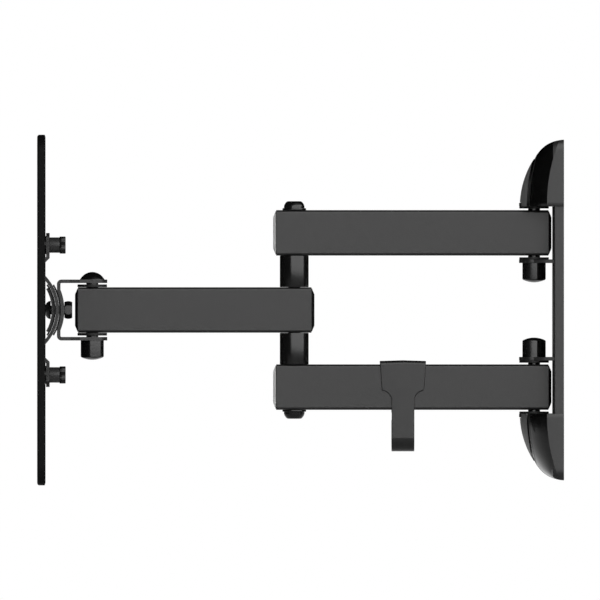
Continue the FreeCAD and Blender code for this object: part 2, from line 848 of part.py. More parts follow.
# ---------------------------------------------------------------------------------------
# Head: swivel bracket and tilt stack
# ---------------------------------------------------------------------------------------
def swivel_bracket():
    """A bent C of sheet: two arms with bores and a curved web that carries the tilt stack."""
    body = new_body("swivel_bracket")
    tail = head_reach - S.tongue_radius
    outer_z = S.web_half_height
    outer = tilt_axis_reach - side_of(web_inner, outer_z)
    inner = outer - S.bracket_sheet
    inner_z = side_of(S.web_radius, tilt_axis_reach - inner)
    bend = S.bracket_bend
    small_bend = bend - S.bracket_sheet
    section = sketch_on(body, "YZ_Plane")
    outline(section, [
        (-tail, bracket_far),
        (-outer + bend, bracket_far, bend, 1),
        (-outer, bracket_far - bend),
        (-outer, outer_z, web_inner, -1),
        (-outer, -outer_z),
        (-outer, -bracket_far + bend, bend, 1),
        (-outer + bend, -bracket_far),
        (-tail, -bracket_far),
        (-tail, -bracket_near),
        (-inner + small_bend, -bracket_near, small_bend, -1),
        (-inner, -bracket_near + small_bend),
        (-inner, -inner_z, S.web_radius, 1),
        (-inner, inner_z),
        (-inner, bracket_near - small_bend, small_bend, -1),
        (-inner + small_bend, bracket_near),
        (-tail, bracket_near),
    ])
    pad(body, section, S.bracket_half_width * 2, both_ways=True)
    shoulder = inner - S.bracket_shoulder / 2
    waist = shoulder - S.bracket_half_width + S.tongue_radius
    beyond = S.bracket_half_width + 1
    for across in (-1, 1):
        sides = sketch_on(body, "XY_Plane")
        outline(sides, [
            (0, -tail + 1),
            (0, -tail, S.tongue_radius, -across),
            (S.tongue_radius * across, -head_reach),
            (S.tongue_radius * across, -waist),
            (S.bracket_half_width * across, -shoulder),
            (beyond * across, -shoulder),
            (beyond * across, -tail + 1),
        ])
        pocket(body, sides)
    bore = sketch_on(body, "XY_Plane")
    circle(bore, S.pivot_bolt_radius + S.running_gap, 0, -head_reach)
    pocket(body, bore)
    tilt_hole = sketch_on(body, "XZ_Plane")
    circle(tilt_hole, S.tilt_bolt_radius + S.running_gap)
    pocket(body, tilt_hole)
    keep(body, "swivel_bracket")


def curved_sheet(label, inner, outer, half_angle, half_width):
    """A sheet curved about the tilt axis, with a hole for the tilt bolt."""
    body = new_body(label)
    reach_out = cosine(half_angle)
    rise = sine(half_angle)
    axis = -tilt_axis_reach
    section = sketch_on(body, "YZ_Plane")
    outline(section, [
        (axis + inner * reach_out, -inner * rise),
        (axis + outer * reach_out, -outer * rise, outer, 1),
        (axis + outer * reach_out, outer * rise),
        (axis + inner * reach_out, inner * rise, inner, -1),
    ])
    pad(body, section, half_width * 2, both_ways=True)
    hole = sketch_on(body, "XZ_Plane")
    circle(hole, S.tilt_bolt_radius + S.running_gap)
    pocket(body, hole)
    keep(body, label)


def tilt_stack():
    """The pads, the clamp plate, and the bolt and nut that press the stack together."""
    half_pad = S.pad_half_width
    curved_sheet("outer_friction_pad", web_inner - S.pad_sheet, web_inner, S.outer_pad_angle, half_pad)
    curved_sheet("inner_friction_pad", clamp_outer, clamp_outer + S.pad_sheet, S.inner_pad_angle, half_pad)
    curved_sheet("clamp_plate", clamp_inner, clamp_outer, S.clamp_angle, S.clamp_half_width)
    shank_end = tilt_head_reach - web_reach + S.tilt_nut_height
    bolt = turned("tilt_bolt", [
        (0, -S.tilt_head_height),
        (S.tilt_head_top_radius, -S.tilt_head_height),
        (S.tilt_head_radius, 0),
        (S.tilt_bolt_radius, 0),
        (S.tilt_bolt_radius, shank_end),
        (0, shank_end),
    ], y=-tilt_head_reach, rotation=TURNED_TO_WALL)
    keep(bolt, "tilt_bolt")
    nut = hex_nut("tilt_nut", S.tilt_nut_flats, S.tilt_nut_height, S.tilt_bolt_radius + S.running_gap)
    spin = FreeCAD.Rotation(FreeCAD.Vector(0, 0, 1), 90)
    place(nut, 0, -web_reach, 0, TURNED_TO_WALL.multiply(spin))
    keep(nut, "tilt_nut")


# ---------------------------------------------------------------------------------------
# Tilt plate, television plate and thumb screws
# ---------------------------------------------------------------------------------------
def tilt_plate():
    """One sheet: a curved middle, flat feet on the television plate, and raised ears."""
    body = new_body("tilt_plate")
    mitre = S.tilt_sheet * math.tan(math.radians(22.5))
    section = sketch_on(body, "YZ_Plane")
    half = [
        (-foot_reach, arch_foot_outer),
        (-foot_reach, ear_start),
        (-ear_reach, ear_start + S.ear_lift),
        (-ear_reach, ear_end),
        (-ear_reach - S.tilt_sheet, ear_end),
        (-ear_reach - S.tilt_sheet, ear_start + S.ear_lift + mitre),
        (-tv_floor_reach, ear_start + mitre),
        (-tv_floor_reach, arch_foot_inner, arch_inner, -1),
    ]
    lower_half = [(step[0], -step[1]) for step in reversed(half)]
    lower_half[-1] = lower_half[-1] + (arch_outer, 1)
    outline(section, half + lower_half)
    pad(body, section, S.tilt_plate_half_width * 2, both_ways=True)
    beside = sketch_on(body, "XZ_Plane")
    beyond = S.tilt_plate_half_width + 1
    side_tall = arch_foot_outer
    for across in (-1, 1):
        middle = (S.bracket_half_width + beyond) / 2
        rectangle(beside, (beyond - S.bracket_half_width) / 2, side_tall, x=middle * across)
    pocket(body, beside)
    notch_low = ear_start - S.ear_round
    notches = sketch_on(body, "XZ_Plane")
    for up in (-1, 1):
        middle = (notch_low + ear_end + 1) / 2
        rectangle(notches, S.ear_notch_half, (ear_end + 1 - notch_low) / 2, y=middle * up)
    pocket(body, notches)
    slot = sketch_on(body, "XZ_Plane")
    slot_half = S.tilt_bolt_radius + S.tilt_bolt_gap
    slot_reach = arch_outer * sine(S.tilt_range)
    outline(slot, [
        (slot_half, -slot_reach),
        (slot_half, slot_reach, slot_half, 1),
        (0, slot_reach + slot_half, slot_half, 1),
        (-slot_half, slot_reach),
        (-slot_half, -slot_reach, slot_half, 1),
        (0, -slot_reach - slot_half, slot_half, 1),
    ])
    pocket(body, slot)
    screw_holes = sketch_on(body, "XZ_Plane")
    for across in (-1, 1):
        for up in (-1, 1):
            circle(screw_holes, S.screw_radius + S.tilt_bolt_gap,
                   S.screw_across / 2 * across, screw_level * up)
    cut_holes = pocket(body, screw_holes)
    fillet(body, cut_holes, S.ear_round,
           lambda point: near(abs(point.z), ear_end) and (near(abs(point.x), S.tilt_plate_half_width)
                                                          or near(abs(point.x), S.ear_notch_half)))
    keep(body, "tilt_plate")


def tv_plate():
    """A shallow pan, its face on the television and its rim turned back, with screw holes."""
    body = new_body("tv_plate")
    half = S.tv_plate_side / 2
    blank = sketch_on(body, "XZ_Plane", tv_plate_reach)
    rectangle(blank, half, half, S.tv_plate_corner)
    face = pad(body, blank, S.tv_plate_depth, against_normal=True)
    fillet(body, face, S.tv_plate_bend, lambda point: near(-point.y, tv_plate_reach))
    hollow = sketch_on(body, "XZ_Plane", tv_plate_reach - S.tv_plate_depth)
    inner = half - S.tv_plate_sheet
    rectangle(hollow, inner, inner, S.tv_plate_corner - S.tv_plate_sheet)
    pocket(body, hollow, S.tv_plate_depth - S.tv_plate_sheet, against_normal=True)
    holes = sketch_on(body, "XZ_Plane")
    patterns = (
        (S.vesa_large, S.vesa_large_hole),
        (S.vesa_middle, S.vesa_hole),
        (S.vesa_small, S.vesa_hole),
    )
    for spacing, radius in patterns:
        for across in (-1, 1):
            for up in (-1, 1):
                circle(holes, radius, spacing / 2 * across, spacing / 2 * up)
    pocket(body, holes)
    windows = sketch_on(body, "XZ_Plane")
    middle = S.window_near + S.window_width / 2
    for side in (-1, 1):
        rectangle(windows, S.window_width / 2, S.window_length / 2, S.window_round, x=middle * side)
        rectangle(windows, S.window_length / 2, S.window_width / 2, S.window_round, y=middle * side)
    rectangle(windows, S.middle_window_wide / 2, S.middle_window_tall / 2, S.ear_round)
    pocket(body, windows)
    screws = sketch_on(body, "XZ_Plane")
    for across in (-1, 1):
        for up in (-1, 1):
            circle(screws, S.screw_radius + S.running_gap,
                   S.screw_across / 2 * across, screw_level * up)
    pocket(body, screws)
    keep(body, "tv_plate")


def thumb_screws():
    """Four knurled screws through the ears, and the threaded bosses that take them."""
    boss_height = tv_floor_reach - ear_reach - S.tilt_sheet
    thread = boss_height + S.tilt_sheet + S.tv_plate_sheet
    body_end = S.screw_body
    grip_end = S.screw_body + S.screw_grip
    screws = []
    bosses = []
    for across in (-1, 1):
        for up in (-1, 1):
            place_x = S.screw_across / 2 * across
            place_z = screw_level * up
            screws.append(turned("thumb_screw", [
                (0, -thread), (S.screw_radius, -thread), (S.screw_radius, 0), (S.screw_body_radius, 0),
                (S.screw_body_radius, body_end), (S.screw_grip_radius, body_end),
                (S.screw_grip_radius, grip_end), (0, grip_end),
            ], place_x, -ear_reach, place_z, TURNED_TO_WALL))
            bosses.append(ring("boss", S.screw_radius + S.running_gap, S.boss_radius, 0, boss_height,
                               x=place_x, y=-tv_floor_reach, z=place_z, rotation=TURNED_TO_WALL))
    keep(group(screws), "thumb_screws")
    keep(group(bosses), "threaded_bosses")


# ---------------------------------------------------------------------------------------
# Cable clip
# ---------------------------------------------------------------------------------------
def cable_clip():
    """A plastic clip that snaps over the lower rear arm and holds cables in a loop below it."""
    body = new_body("cable_clip")
    inner = arm_side + S.clip_gap
    outer = inner + S.clip_sheet
    roof = arm_half + S.clip_gap
    roof_top = roof + S.clip_sheet
    sill = -arm_half - S.clip_gap
    loop_radius = S.clip_loop_radius
    loop_inner = loop_radius - S.clip_sheet
    loop_level = loop_radius - arm_half - S.clip_hang          # where the loop's arcs start
    far = outer - S.clip_loop_width                            # the loop's far side
    mouth = sill - S.clip_sheet - S.clip_mouth
    section = sketch_on(body, "XZ_Plane", clip_reach - S.clip_wide / 2)
    outline(section, [
        (outer, roof_top),
        (-outer, roof_top),
        (-outer, sill - S.clip_sheet),
        (-inner + S.clip_lip, sill - S.clip_sheet),
        (-inner + S.clip_lip, sill),
        (-inner, sill),
        (-inner, roof),
        (inner, roof),
        (inner, loop_level, loop_inner, -1),
        (outer - loop_radius, loop_level - loop_inner, loop_inner, -1),
        (far + S.clip_sheet, loop_level),
        (far + S.clip_sheet, mouth),
        (far, mouth),
        (far, loop_level, loop_radius, 1),
        (outer - loop_radius, loop_level - loop_radius, loop_radius, 1),
        (outer, loop_level),
    ])
    pad(body, section, S.clip_wide)
    half_wide = S.clip_wide / 2
    half_narrow = S.clip_narrow / 2
    shoulder_level = roof_top - S.clip_shoulder
    neck_level = roof_top - S.clip_neck
    shoulder_half = half_wide - S.clip_taper
    rise = shoulder_level - neck_level
    run = shoulder_half - half_narrow
    flatter = 1.15                                              # than an arc with a level end
    shoulder_radius = (rise * rise + run * run) / (rise * 2) * flatter
    beyond = half_wide + 1
    bottom = loop_level - loop_radius - 1
    for along in (-1, 1):
        sides = sketch_on(body, "YZ_Plane")
        middle = -clip_reach
        outline(sides, [
            (middle + beyond * along, roof_top),
            (middle + half_wide * along, roof_top),
            (middle + shoulder_half * along, shoulder_level, shoulder_radius, along),
            (middle + half_narrow * along, neck_level),
            (middle + half_narrow * along, bottom),
            (middle + beyond * along, bottom),
        ])
        pocket(body, sides)
    place(body, z=-S.arm_level)
    keep(body, "cable_clip")


# ---------------------------------------------------------------------------------------
# The whole mount
# ---------------------------------------------------------------------------------------
wall_plate()
covers()
for side in (UPPER, LOWER):
    pivot_bracket(side)
    shoulder_fasteners(side)
rear_arms()
elbow_fasteners()
cable_clip()
front_arm()
swivel_bracket()
head_fasteners()
tilt_stack()
tilt_plate()
tv_plate()
thumb_screws()
doc.recompute()

for item in doc.Objects:
    if "Invalid" in item.State or "Error" in item.State:
        raise RuntimeError(f"{item.Label} failed: {item.State}")
for node in nodes:
    if node.Shape.isNull() or not node.Shape.isValid():
        raise RuntimeError(f"{node.Label} has no valid shape")

os.makedirs("parts", exist_ok=True)
for node in nodes:
    node.Shape.exportStep(f"parts/{node.Label}.step")
    print(f"{node.Label}: {len(node.Shape.Solids)} solid(s), {node.Shape.Volume:.0f} mm3")
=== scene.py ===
# %% [markdown]
# # A full motion television wall mount
# This lesson dresses a wall mount: two arms swing on a wall plate, a third arm folds out
# from their elbow, and a head at its end carries the plate that is screwed to the television.
# The solid model is loaded first and stays fixed. Pieces whose shape is already right get a
# finish and softened edges, and the moulded and turned pieces are modelled again in detail.

# %% Load the fixed model
import math

import bmesh
import bpy
from mathutils import Matrix, Vector


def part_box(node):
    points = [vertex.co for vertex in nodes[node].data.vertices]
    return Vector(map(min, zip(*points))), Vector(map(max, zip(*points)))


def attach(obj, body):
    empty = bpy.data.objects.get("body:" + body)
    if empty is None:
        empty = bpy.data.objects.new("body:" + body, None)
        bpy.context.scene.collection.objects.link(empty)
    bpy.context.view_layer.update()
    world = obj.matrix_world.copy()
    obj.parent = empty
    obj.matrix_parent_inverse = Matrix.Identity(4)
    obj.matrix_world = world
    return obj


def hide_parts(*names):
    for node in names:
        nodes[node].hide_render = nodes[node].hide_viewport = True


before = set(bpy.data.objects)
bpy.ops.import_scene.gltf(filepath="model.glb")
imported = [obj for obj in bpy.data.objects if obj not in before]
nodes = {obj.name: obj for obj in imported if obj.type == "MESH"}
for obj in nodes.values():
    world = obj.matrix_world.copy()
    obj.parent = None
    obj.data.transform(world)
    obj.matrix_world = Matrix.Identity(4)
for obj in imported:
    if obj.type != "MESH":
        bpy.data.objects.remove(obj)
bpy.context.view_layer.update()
scene = bpy.context.scene
scene.view_settings.view_transform = "Standard"
MM = 0.001

# %% [markdown]
# ## Camera
# The mount is seen square from its side, with no visible perspective, so that the arms read
# as plain rectangles. A very long lens far away does that and still behaves as a camera.

# %% Camera
AIM = Vector((0, -0.1736, 0.0066))
CAMERA_DISTANCE = 16.5
camera_data = bpy.data.cameras.new("camera")
camera_data.lens = 1500
camera_data.sensor_width = 36
camera_data.clip_end = 60
camera = bpy.data.objects.new("camera", camera_data)
scene.collection.objects.link(camera)
scene.camera = camera


def towards(turn, rise):
    """The direction that lies turn degrees from +X towards +Y, and rise degrees up."""
    turn, rise = math.radians(turn), math.radians(rise)
    return Vector((math.cos(turn) * math.cos(rise), math.sin(turn) * math.cos(rise),
                   math.sin(rise)))


def aim_from(thing, direction, distance):
    """Put a camera or a lamp in a direction from the mount, looking back at it."""
    thing.location = AIM + direction * distance
    thing.rotation_euler = direction.to_track_quat("Z", "Y").to_euler()


CAMERA_TURN = -0.45                # degrees from +X, just enough to match the outlines
aim_from(camera, towards(CAMERA_TURN, 0), CAMERA_DISTANCE)
frame_width = CAMERA_DISTANCE * camera_data.sensor_width / camera_data.lens
print("frame width in mm:", round(frame_width / MM))

# %% [markdown]
# ## World and floor
# The background is plain white, but only for rays that the viewer sees, directly or mirrored
# in gloss or through something clear. The light that reaches the mount from all round is
# much weaker, so that the faces turned away from the lamps stay dark, as black paint does.

# %% World
AMBIENT = 0.02


def link_light_path(tree, target):
    """Feed a socket with 1 for camera, glossy and transmission rays, and 0 for the others."""
    path = tree.nodes.new("ShaderNodeLightPath")
    seen = tree.nodes.new("ShaderNodeMath")
    seen.operation = "MAXIMUM"
    any_of_three = tree.nodes.new("ShaderNodeMath")
    any_of_three.operation = "MAXIMUM"
    tree.links.new(path.outputs["Is Camera Ray"], seen.inputs[0])
    tree.links.new(path.outputs["Is Glossy Ray"], seen.inputs[1])
    tree.links.new(seen.outputs[0], any_of_three.inputs[0])
    tree.links.new(path.outputs["Is Transmission Ray"], any_of_three.inputs[1])
    tree.links.new(any_of_three.outputs[0], target)


world = bpy.data.worlds.new("studio")
scene.world = world
world.use_nodes = True
tree = world.node_tree
tree.nodes.clear()
dim = tree.nodes.new("ShaderNodeBackground")
dim.inputs["Color"].default_value = (1, 1, 1, 1)
dim.inputs["Strength"].default_value = AMBIENT
white = tree.nodes.new("ShaderNodeBackground")
white.inputs["Color"].default_value = (1, 1, 1, 1)
white.inputs["Strength"].default_value = 1
choose = tree.nodes.new("ShaderNodeMixShader")
world_out = tree.nodes.new("ShaderNodeOutputWorld")
link_light_path(tree, choose.inputs["Fac"])
tree.links.new(dim.outputs[0], choose.inputs[1])
tree.links.new(white.outputs[0], choose.inputs[2])
tree.links.new(choose.outputs[0], world_out.inputs["Surface"])
print("ambient light:", AMBIENT)

# %% Floor
FLOOR_LEVEL = -0.45
FLOOR_RADIUS = 20
FLOOR_GLOW = 0.88                  # the rest keeps the mount's shadow
floor_form = bmesh.new()
bmesh.ops.create_circle(floor_form, cap_ends=True, segments=64, radius=FLOOR_RADIUS)
bmesh.ops.translate(floor_form, vec=(0, AIM.y, FLOOR_LEVEL), verts=floor_form.verts)
floor_mesh = bpy.data.meshes.new("floor")
floor_form.to_mesh(floor_mesh)
floor_form.free()
floor = bpy.data.objects.new("floor", floor_mesh)
scene.collection.objects.link(floor)

floor_paint = bpy.data.materials.new("pale_floor")
floor_paint.use_nodes = True
tree = floor_paint.node_tree
matt = tree.nodes["Principled BSDF"]
matt.inputs["Base Color"].default_value = (0.8, 0.8, 0.8, 1)
matt.inputs["Roughness"].default_value = 0.9
matt.inputs["Specular IOR Level"].default_value = 0
glow = tree.nodes.new("ShaderNodeEmission")
glow.inputs["Color"].default_value = (1, 1, 1, 1)
blend = tree.nodes.new("ShaderNodeMixShader")
share = tree.nodes.new("ShaderNodeMath")
share.operation = "MULTIPLY"
share.inputs[1].default_value = FLOOR_GLOW
link_light_path(tree, share.inputs[0])
tree.links.new(share.outputs[0], blend.inputs["Fac"])
tree.links.new(matt.outputs[0], blend.inputs[1])
tree.links.new(glow.outputs[0], blend.inputs[2])
tree.links.new(blend.outputs[0], tree.nodes["Material Output"].inputs["Surface"])
floor_mesh.materials.append(floor_paint)
print("floor at", FLOOR_LEVEL, "m")

# %% [markdown]
# ## Lamps
# Black products are lit by what they mirror. One wide panel behind the camera, and to its
# right, is what every face turned to the camera mirrors, which makes it an even grey, while
# rounded edges and the left third of a post mirror nothing and stay black. The key lamp
# brings out the colour itself, at a plain level. Two lamps stand behind, one each side, for
# whoever walks round the mount, and give no gloss, so no bright line runs along the outlines.

# %% Lamps
PANEL_TURN, PANEL_RISE = 36, 10
LAMPS = {
    # name: turn, rise, distance, width, height, watts, what it lights
    "key": (10, 14, 3.0, 1.5, 1.5, 90, "colour"),
    "panel": (PANEL_TURN, PANEL_RISE, 9.0, 36.9, 13.0, 13500, "gloss"),
    "left_rear": (-112, 8, 3.0, 1.5, 1.5, 110, "colour"),
    "right_rear": (140, 8, 3.0, 1.5, 1.5, 90, "colour"),
}
for name, (turn, rise, distance, width, height, watts, lights) in LAMPS.items():
    lamp = bpy.data.lights.new(name, "AREA")
    lamp.shape = "RECTANGLE"
    lamp.size = width
    lamp.size_y = height
    lamp.energy = watts
    lamp_object = bpy.data.objects.new(name, lamp)
    lamp_object.visible_camera = False
    lamp_object.visible_diffuse = lights == "colour"
    lamp_object.visible_glossy = lights == "gloss"
    scene.collection.objects.link(lamp_object)
    aim_from(lamp_object, towards(turn, rise), distance)
print("lamps:", ", ".join(LAMPS))

# %% [markdown]
# ## A black tent round the mount
# Even black paint mirrors whatever stands round the piece, most of all at a grazing angle. A
# studio keeps the outlines of a black product dark with black cloth all round, open only
# where the panel shines in. Here it is a sphere with a round opening that only mirrored rays
# can see, so it casts no shadow and hides nothing.

# %% Black tent
TENT_RADIUS = 4.0
TENT_OPENING = math.radians(64)
opening_way = towards(PANEL_TURN, PANEL_RISE)
tent_form = bmesh.new()
bmesh.ops.create_icosphere(tent_form, subdivisions=5, radius=TENT_RADIUS)
everything = tent_form.verts[:] + tent_form.edges[:] + tent_form.faces[:]
bmesh.ops.bisect_plane(tent_form, geom=everything, plane_no=opening_way, clear_outer=True,
                       plane_co=opening_way * TENT_RADIUS * math.cos(TENT_OPENING))
everything = tent_form.verts[:] + tent_form.edges[:] + tent_form.faces[:]
bmesh.ops.bisect_plane(tent_form, geom=everything, plane_co=(0, 0, FLOOR_LEVEL + 0.01),
                       plane_no=(0, 0, -1), clear_outer=True)
tent_mesh = bpy.data.meshes.new("black_tent")
tent_form.to_mesh(tent_mesh)
tent_form.free()
tent_cloth = bpy.data.materials.new("black_cloth")
tent_cloth.use_nodes = True
tent_cloth.node_tree.nodes["Principled BSDF"].inputs["Base Color"].default_value = (0, 0, 0, 1)
tent_cloth.node_tree.nodes["Principled BSDF"].inputs["Specular IOR Level"].default_value = 0
tent_mesh.materials.append(tent_cloth)
tent = bpy.data.objects.new("black_tent", tent_mesh)
tent.visible_camera = tent.visible_diffuse = tent.visible_transmission = tent.visible_shadow = False
scene.collection.objects.link(tent)
print("tent faces:", len(tent_mesh.polygons))

# %% [markdown]
# ## A group for uneven finishes
# No painted or moulded surface is one flat value. Powder coat dries in a fine orange peel,
# moulded plastic copies the etched wall of its mould, and both drift a little in tone. One
# group makes all of these from noise, and each material gives it its own sizes and colours.


# %% Shader group: uneven finish
def grey(level):
    """A grey written as a display value from 0 to 255, as a linear colour."""
    share = level / 255
    value = share / 12.92 if share <= 0.04045 else ((share + 0.055) / 1.055) ** 2.4
    return (value, value, value, 1)


uneven = bpy.data.node_groups.new("uneven_finish", "ShaderNodeTree")
for name, kind, value in (
    ("Grains per metre", "NodeSocketFloat", 1500.0),
    ("Patches per metre", "NodeSocketFloat", 30.0),
    ("Dark", "NodeSocketColor", grey(50)),
    ("Light", "NodeSocketColor", grey(60)),
    ("Smooth", "NodeSocketFloat", 0.4),
    ("Rough", "NodeSocketFloat", 0.5),
):
    uneven.interface.new_socket(name=name, in_out="INPUT", socket_type=kind).default_value = value
for name, kind in (
    ("Colour", "NodeSocketColor"), ("Roughness", "NodeSocketFloat"), ("Height", "NodeSocketFloat"),
):
    uneven.interface.new_socket(name=name, in_out="OUTPUT", socket_type=kind)

given = uneven.nodes.new("NodeGroupInput")
result = uneven.nodes.new("NodeGroupOutput")
place = uneven.nodes.new("ShaderNodeTexCoord")
fine = uneven.nodes.new("ShaderNodeTexNoise")
fine.inputs["Detail"].default_value = 2
patches = uneven.nodes.new("ShaderNodeTexNoise")
patches.inputs["Detail"].default_value = 4
tone = uneven.nodes.new("ShaderNodeMix")
tone.data_type = "RGBA"
satin = uneven.nodes.new("ShaderNodeMix")
both = uneven.nodes.new("ShaderNodeMath")
both.operation = "MULTIPLY_ADD"
both.inputs[1].default_value = 0.6                    # how much the grain adds to the patches
wire = uneven.links.new
wire(place.outputs["Object"], fine.inputs["Vector"])
wire(place.outputs["Object"], patches.inputs["Vector"])
wire(given.outputs["Grains per metre"], fine.inputs["Scale"])
wire(given.outputs["Patches per metre"], patches.inputs["Scale"])
wire(patches.outputs["Fac"], tone.inputs[0])
wire(given.outputs["Dark"], tone.inputs[6])           # a Mix node's two colours
wire(given.outputs["Light"], tone.inputs[7])
wire(fine.outputs["Fac"], both.inputs[0])
wire(patches.outputs["Fac"], both.inputs[2])
wire(given.outputs["Smooth"], satin.inputs[2])        # a Mix node's two numbers
wire(given.outputs["Rough"], satin.inputs[3])
wire(both.outputs[0], satin.inputs[0])
wire(tone.outputs[2], result.inputs["Colour"])
wire(satin.outputs[0], result.inputs["Roughness"])
wire(fine.outputs["Fac"], result.inputs["Height"])
print("group:", uneven.name, "with", len(uneven.nodes), "nodes")

# %% [markdown]
# ## The finishes
# Every finish is a Principled BSDF fed by the group. What is the same all over, such as how
# strongly the surface mirrors, is set on the shader itself. Painted steel, moulded plastic
# and blackened steel differ mostly in their grain and in how sharp their gloss is.


# %% Finishes
def finish(name, dark, light, smooth, rough, mirror=0.15, grains=1500, patches=25,
           bump=0.00003, metallic=0.0):
    """A finish that drifts between two greys and two roughnesses, over a fine grain."""
    material = bpy.data.materials.new(name)
    material.use_nodes = True
    tree = material.node_tree
    shader = tree.nodes["Principled BSDF"]
    shader.inputs["Specular IOR Level"].default_value = mirror
    shader.inputs["Metallic"].default_value = metallic
    surface = tree.nodes.new("ShaderNodeGroup")
    surface.node_tree = uneven
    surface.inputs["Grains per metre"].default_value = grains
    surface.inputs["Patches per metre"].default_value = patches
    surface.inputs["Dark"].default_value = grey(dark)
    surface.inputs["Light"].default_value = grey(light)
    surface.inputs["Smooth"].default_value = smooth
    surface.inputs["Rough"].default_value = rough
    relief = tree.nodes.new("ShaderNodeBump")
    relief.inputs["Strength"].default_value = 1
    relief.inputs["Distance"].default_value = bump
    tree.links.new(surface.outputs["Colour"], shader.inputs["Base Color"])
    tree.links.new(surface.outputs["Roughness"], shader.inputs["Roughness"])
    tree.links.new(surface.outputs["Height"], relief.inputs["Height"])
    tree.links.new(relief.outputs["Normal"], shader.inputs["Normal"])
    return material


FINISHES = {
    "powder_coat": finish("powder_coat", 22, 27, 0.26, 0.34, mirror=0.115, grains=1400),
    # painted shade: a darker copy of the powder coat, almost without gloss, for the television
    # plate
    "plate_coat_painted_shade": finish("plate_coat_painted_shade", 12, 17, 0.38, 0.5, mirror=0.008, grains=1400),
    "cover_satin": finish("cover_satin", 24, 29, 0.26, 0.34, mirror=0.11, grains=2500),
    # painted shade: the near-black of the cover's band and groove; the gloss itself is real
    "cover_gloss_painted_shade": finish("cover_gloss_painted_shade", 5, 8, 0.10, 0.20, mirror=0.25, grains=300, bump=0.00001),
    # painted light: the light grey of the cover's front panel
    "cover_front_painted_light": finish("cover_front_painted_light", 66, 72, 0.35, 0.45, mirror=0.1, grains=2500),
    "cap_plastic": finish("cap_plastic", 10, 14, 0.25, 0.35, mirror=0.03, grains=2500),
    # painted reflection: the pale grey face of the rear arms' elbow-end caps
    "pale_cap_painted_reflection": finish("pale_cap_painted_reflection", 182, 192, 0.4, 0.5, mirror=0.2, grains=2500),
    "nut_cap_plastic": finish("nut_cap_plastic", 9, 13, 0.14, 0.22, mirror=0.16, grains=900),
    "clip_plastic": finish("clip_plastic", 21, 25, 0.26, 0.34, mirror=0.115, grains=2800),
    "washer_plastic": finish("washer_plastic", 18, 26, 0.35, 0.5, mirror=0.05, grains=1800),
    "friction_pad": finish("friction_pad", 30, 44, 0.6, 0.8, mirror=0.08, grains=3500, patches=900,
                           bump=0.00008),
    "black_steel": finish("black_steel", 11, 17, 0.12, 0.2, mirror=0.12, grains=1100, patches=60),
    "screw_steel": finish("screw_steel", 34, 46, 0.28, 0.4, mirror=0.1, grains=1900, patches=90),
    "bare_steel": finish("bare_steel", 140, 165, 0.25, 0.42, mirror=0.5, grains=2200, patches=80,
                         metallic=1.0),
}
print("finishes:", ", ".join(FINISHES))

# %% [markdown]
# ## Pieces whose shape is already right
# The tubes, brackets, plates and washers keep their solid model. Its mesh may not be
# touched, so modifiers do the work: one joins the loose triangles, one melts flat triangles
# into whole faces, one rounds each sharp edge by a few tenths of a millimetre as a press
# brake or a coat of paint does, and a small node tree smooths what is curved.

# %% Smooth by angle, as a node tree
SMOOTH_ANGLE = math.radians(38)
by_angle = bpy.data.node_groups.new("smooth_by_angle", "GeometryNodeTree")
by_angle.is_modifier = True
by_angle.interface.new_socket(name="Mesh", in_out="INPUT", socket_type="NodeSocketGeometry")
by_angle.interface.new_socket(name="Mesh", in_out="OUTPUT", socket_type="NodeSocketGeometry")
mesh_in = by_angle.nodes.new("NodeGroupInput")
mesh_out = by_angle.nodes.new("NodeGroupOutput")
forget = by_angle.nodes.new("GeometryNodeRemoveAttribute")
forget.inputs["Name"].default_value = "custom_normal"
edge_angle = by_angle.nodes.new("GeometryNodeInputMeshEdgeAngle")
shallow = by_angle.nodes.new("ShaderNodeMath")
shallow.operation = "LESS_THAN"
shallow.inputs[1].default_value = SMOOTH_ANGLE
soft_edges = by_angle.nodes.new("GeometryNodeSetShadeSmooth")
soft_edges.domain = "EDGE"
soft_faces = by_angle.nodes.new("GeometryNodeSetShadeSmooth")
wire = by_angle.links.new
wire(mesh_in.outputs[0], forget.inputs["Geometry"])
wire(forget.outputs["Geometry"], soft_edges.inputs["Geometry"])
wire(edge_angle.outputs["Unsigned Angle"], shallow.inputs[0])
wire(shallow.outputs[0], soft_edges.inputs["Shade Smooth"])
wire(soft_edges.outputs["Geometry"], soft_faces.inputs["Geometry"])
wire(soft_faces.outputs["Geometry"], mesh_out.inputs[0])
print("smooth below", round(math.degrees(SMOOTH_ANGLE)), "degrees")


# %% Finish and soften the kept pieces
def flatten_faces(piece):
    """Let the large faces decide the normals at their edges, so that they shade flat."""
    weighted = piece.modifiers.new("flat_faces", "WEIGHTED_NORMAL")
    weighted.mode = "FACE_AREA"
    weighted.keep_sharp = True


def soften_piece(name, finish_name, edge):
    """Give a solid-model piece its finish, whole faces and edges rounded by some mm."""
    piece = nodes[name]
    piece.data.materials.clear()
    piece.data.materials.append(FINISHES[finish_name])
    piece.modifiers.new("join", "WELD").merge_threshold = 1e-6
    whole = piece.modifiers.new("whole_faces", "DECIMATE")
    whole.decimate_type = "DISSOLVE"
    whole.angle_limit = math.radians(1)
    rounding = piece.modifiers.new("rounded_edges", "BEVEL")
    rounding.width = edge * MM
    rounding.segments = 2
    rounding.limit_method = "ANGLE"
    rounding.angle_limit = SMOOTH_ANGLE
    rounding.miter_outer = "MITER_ARC"
    piece.modifiers.new("smooth_by_angle", "NODES").node_group = by_angle
    flatten_faces(piece)


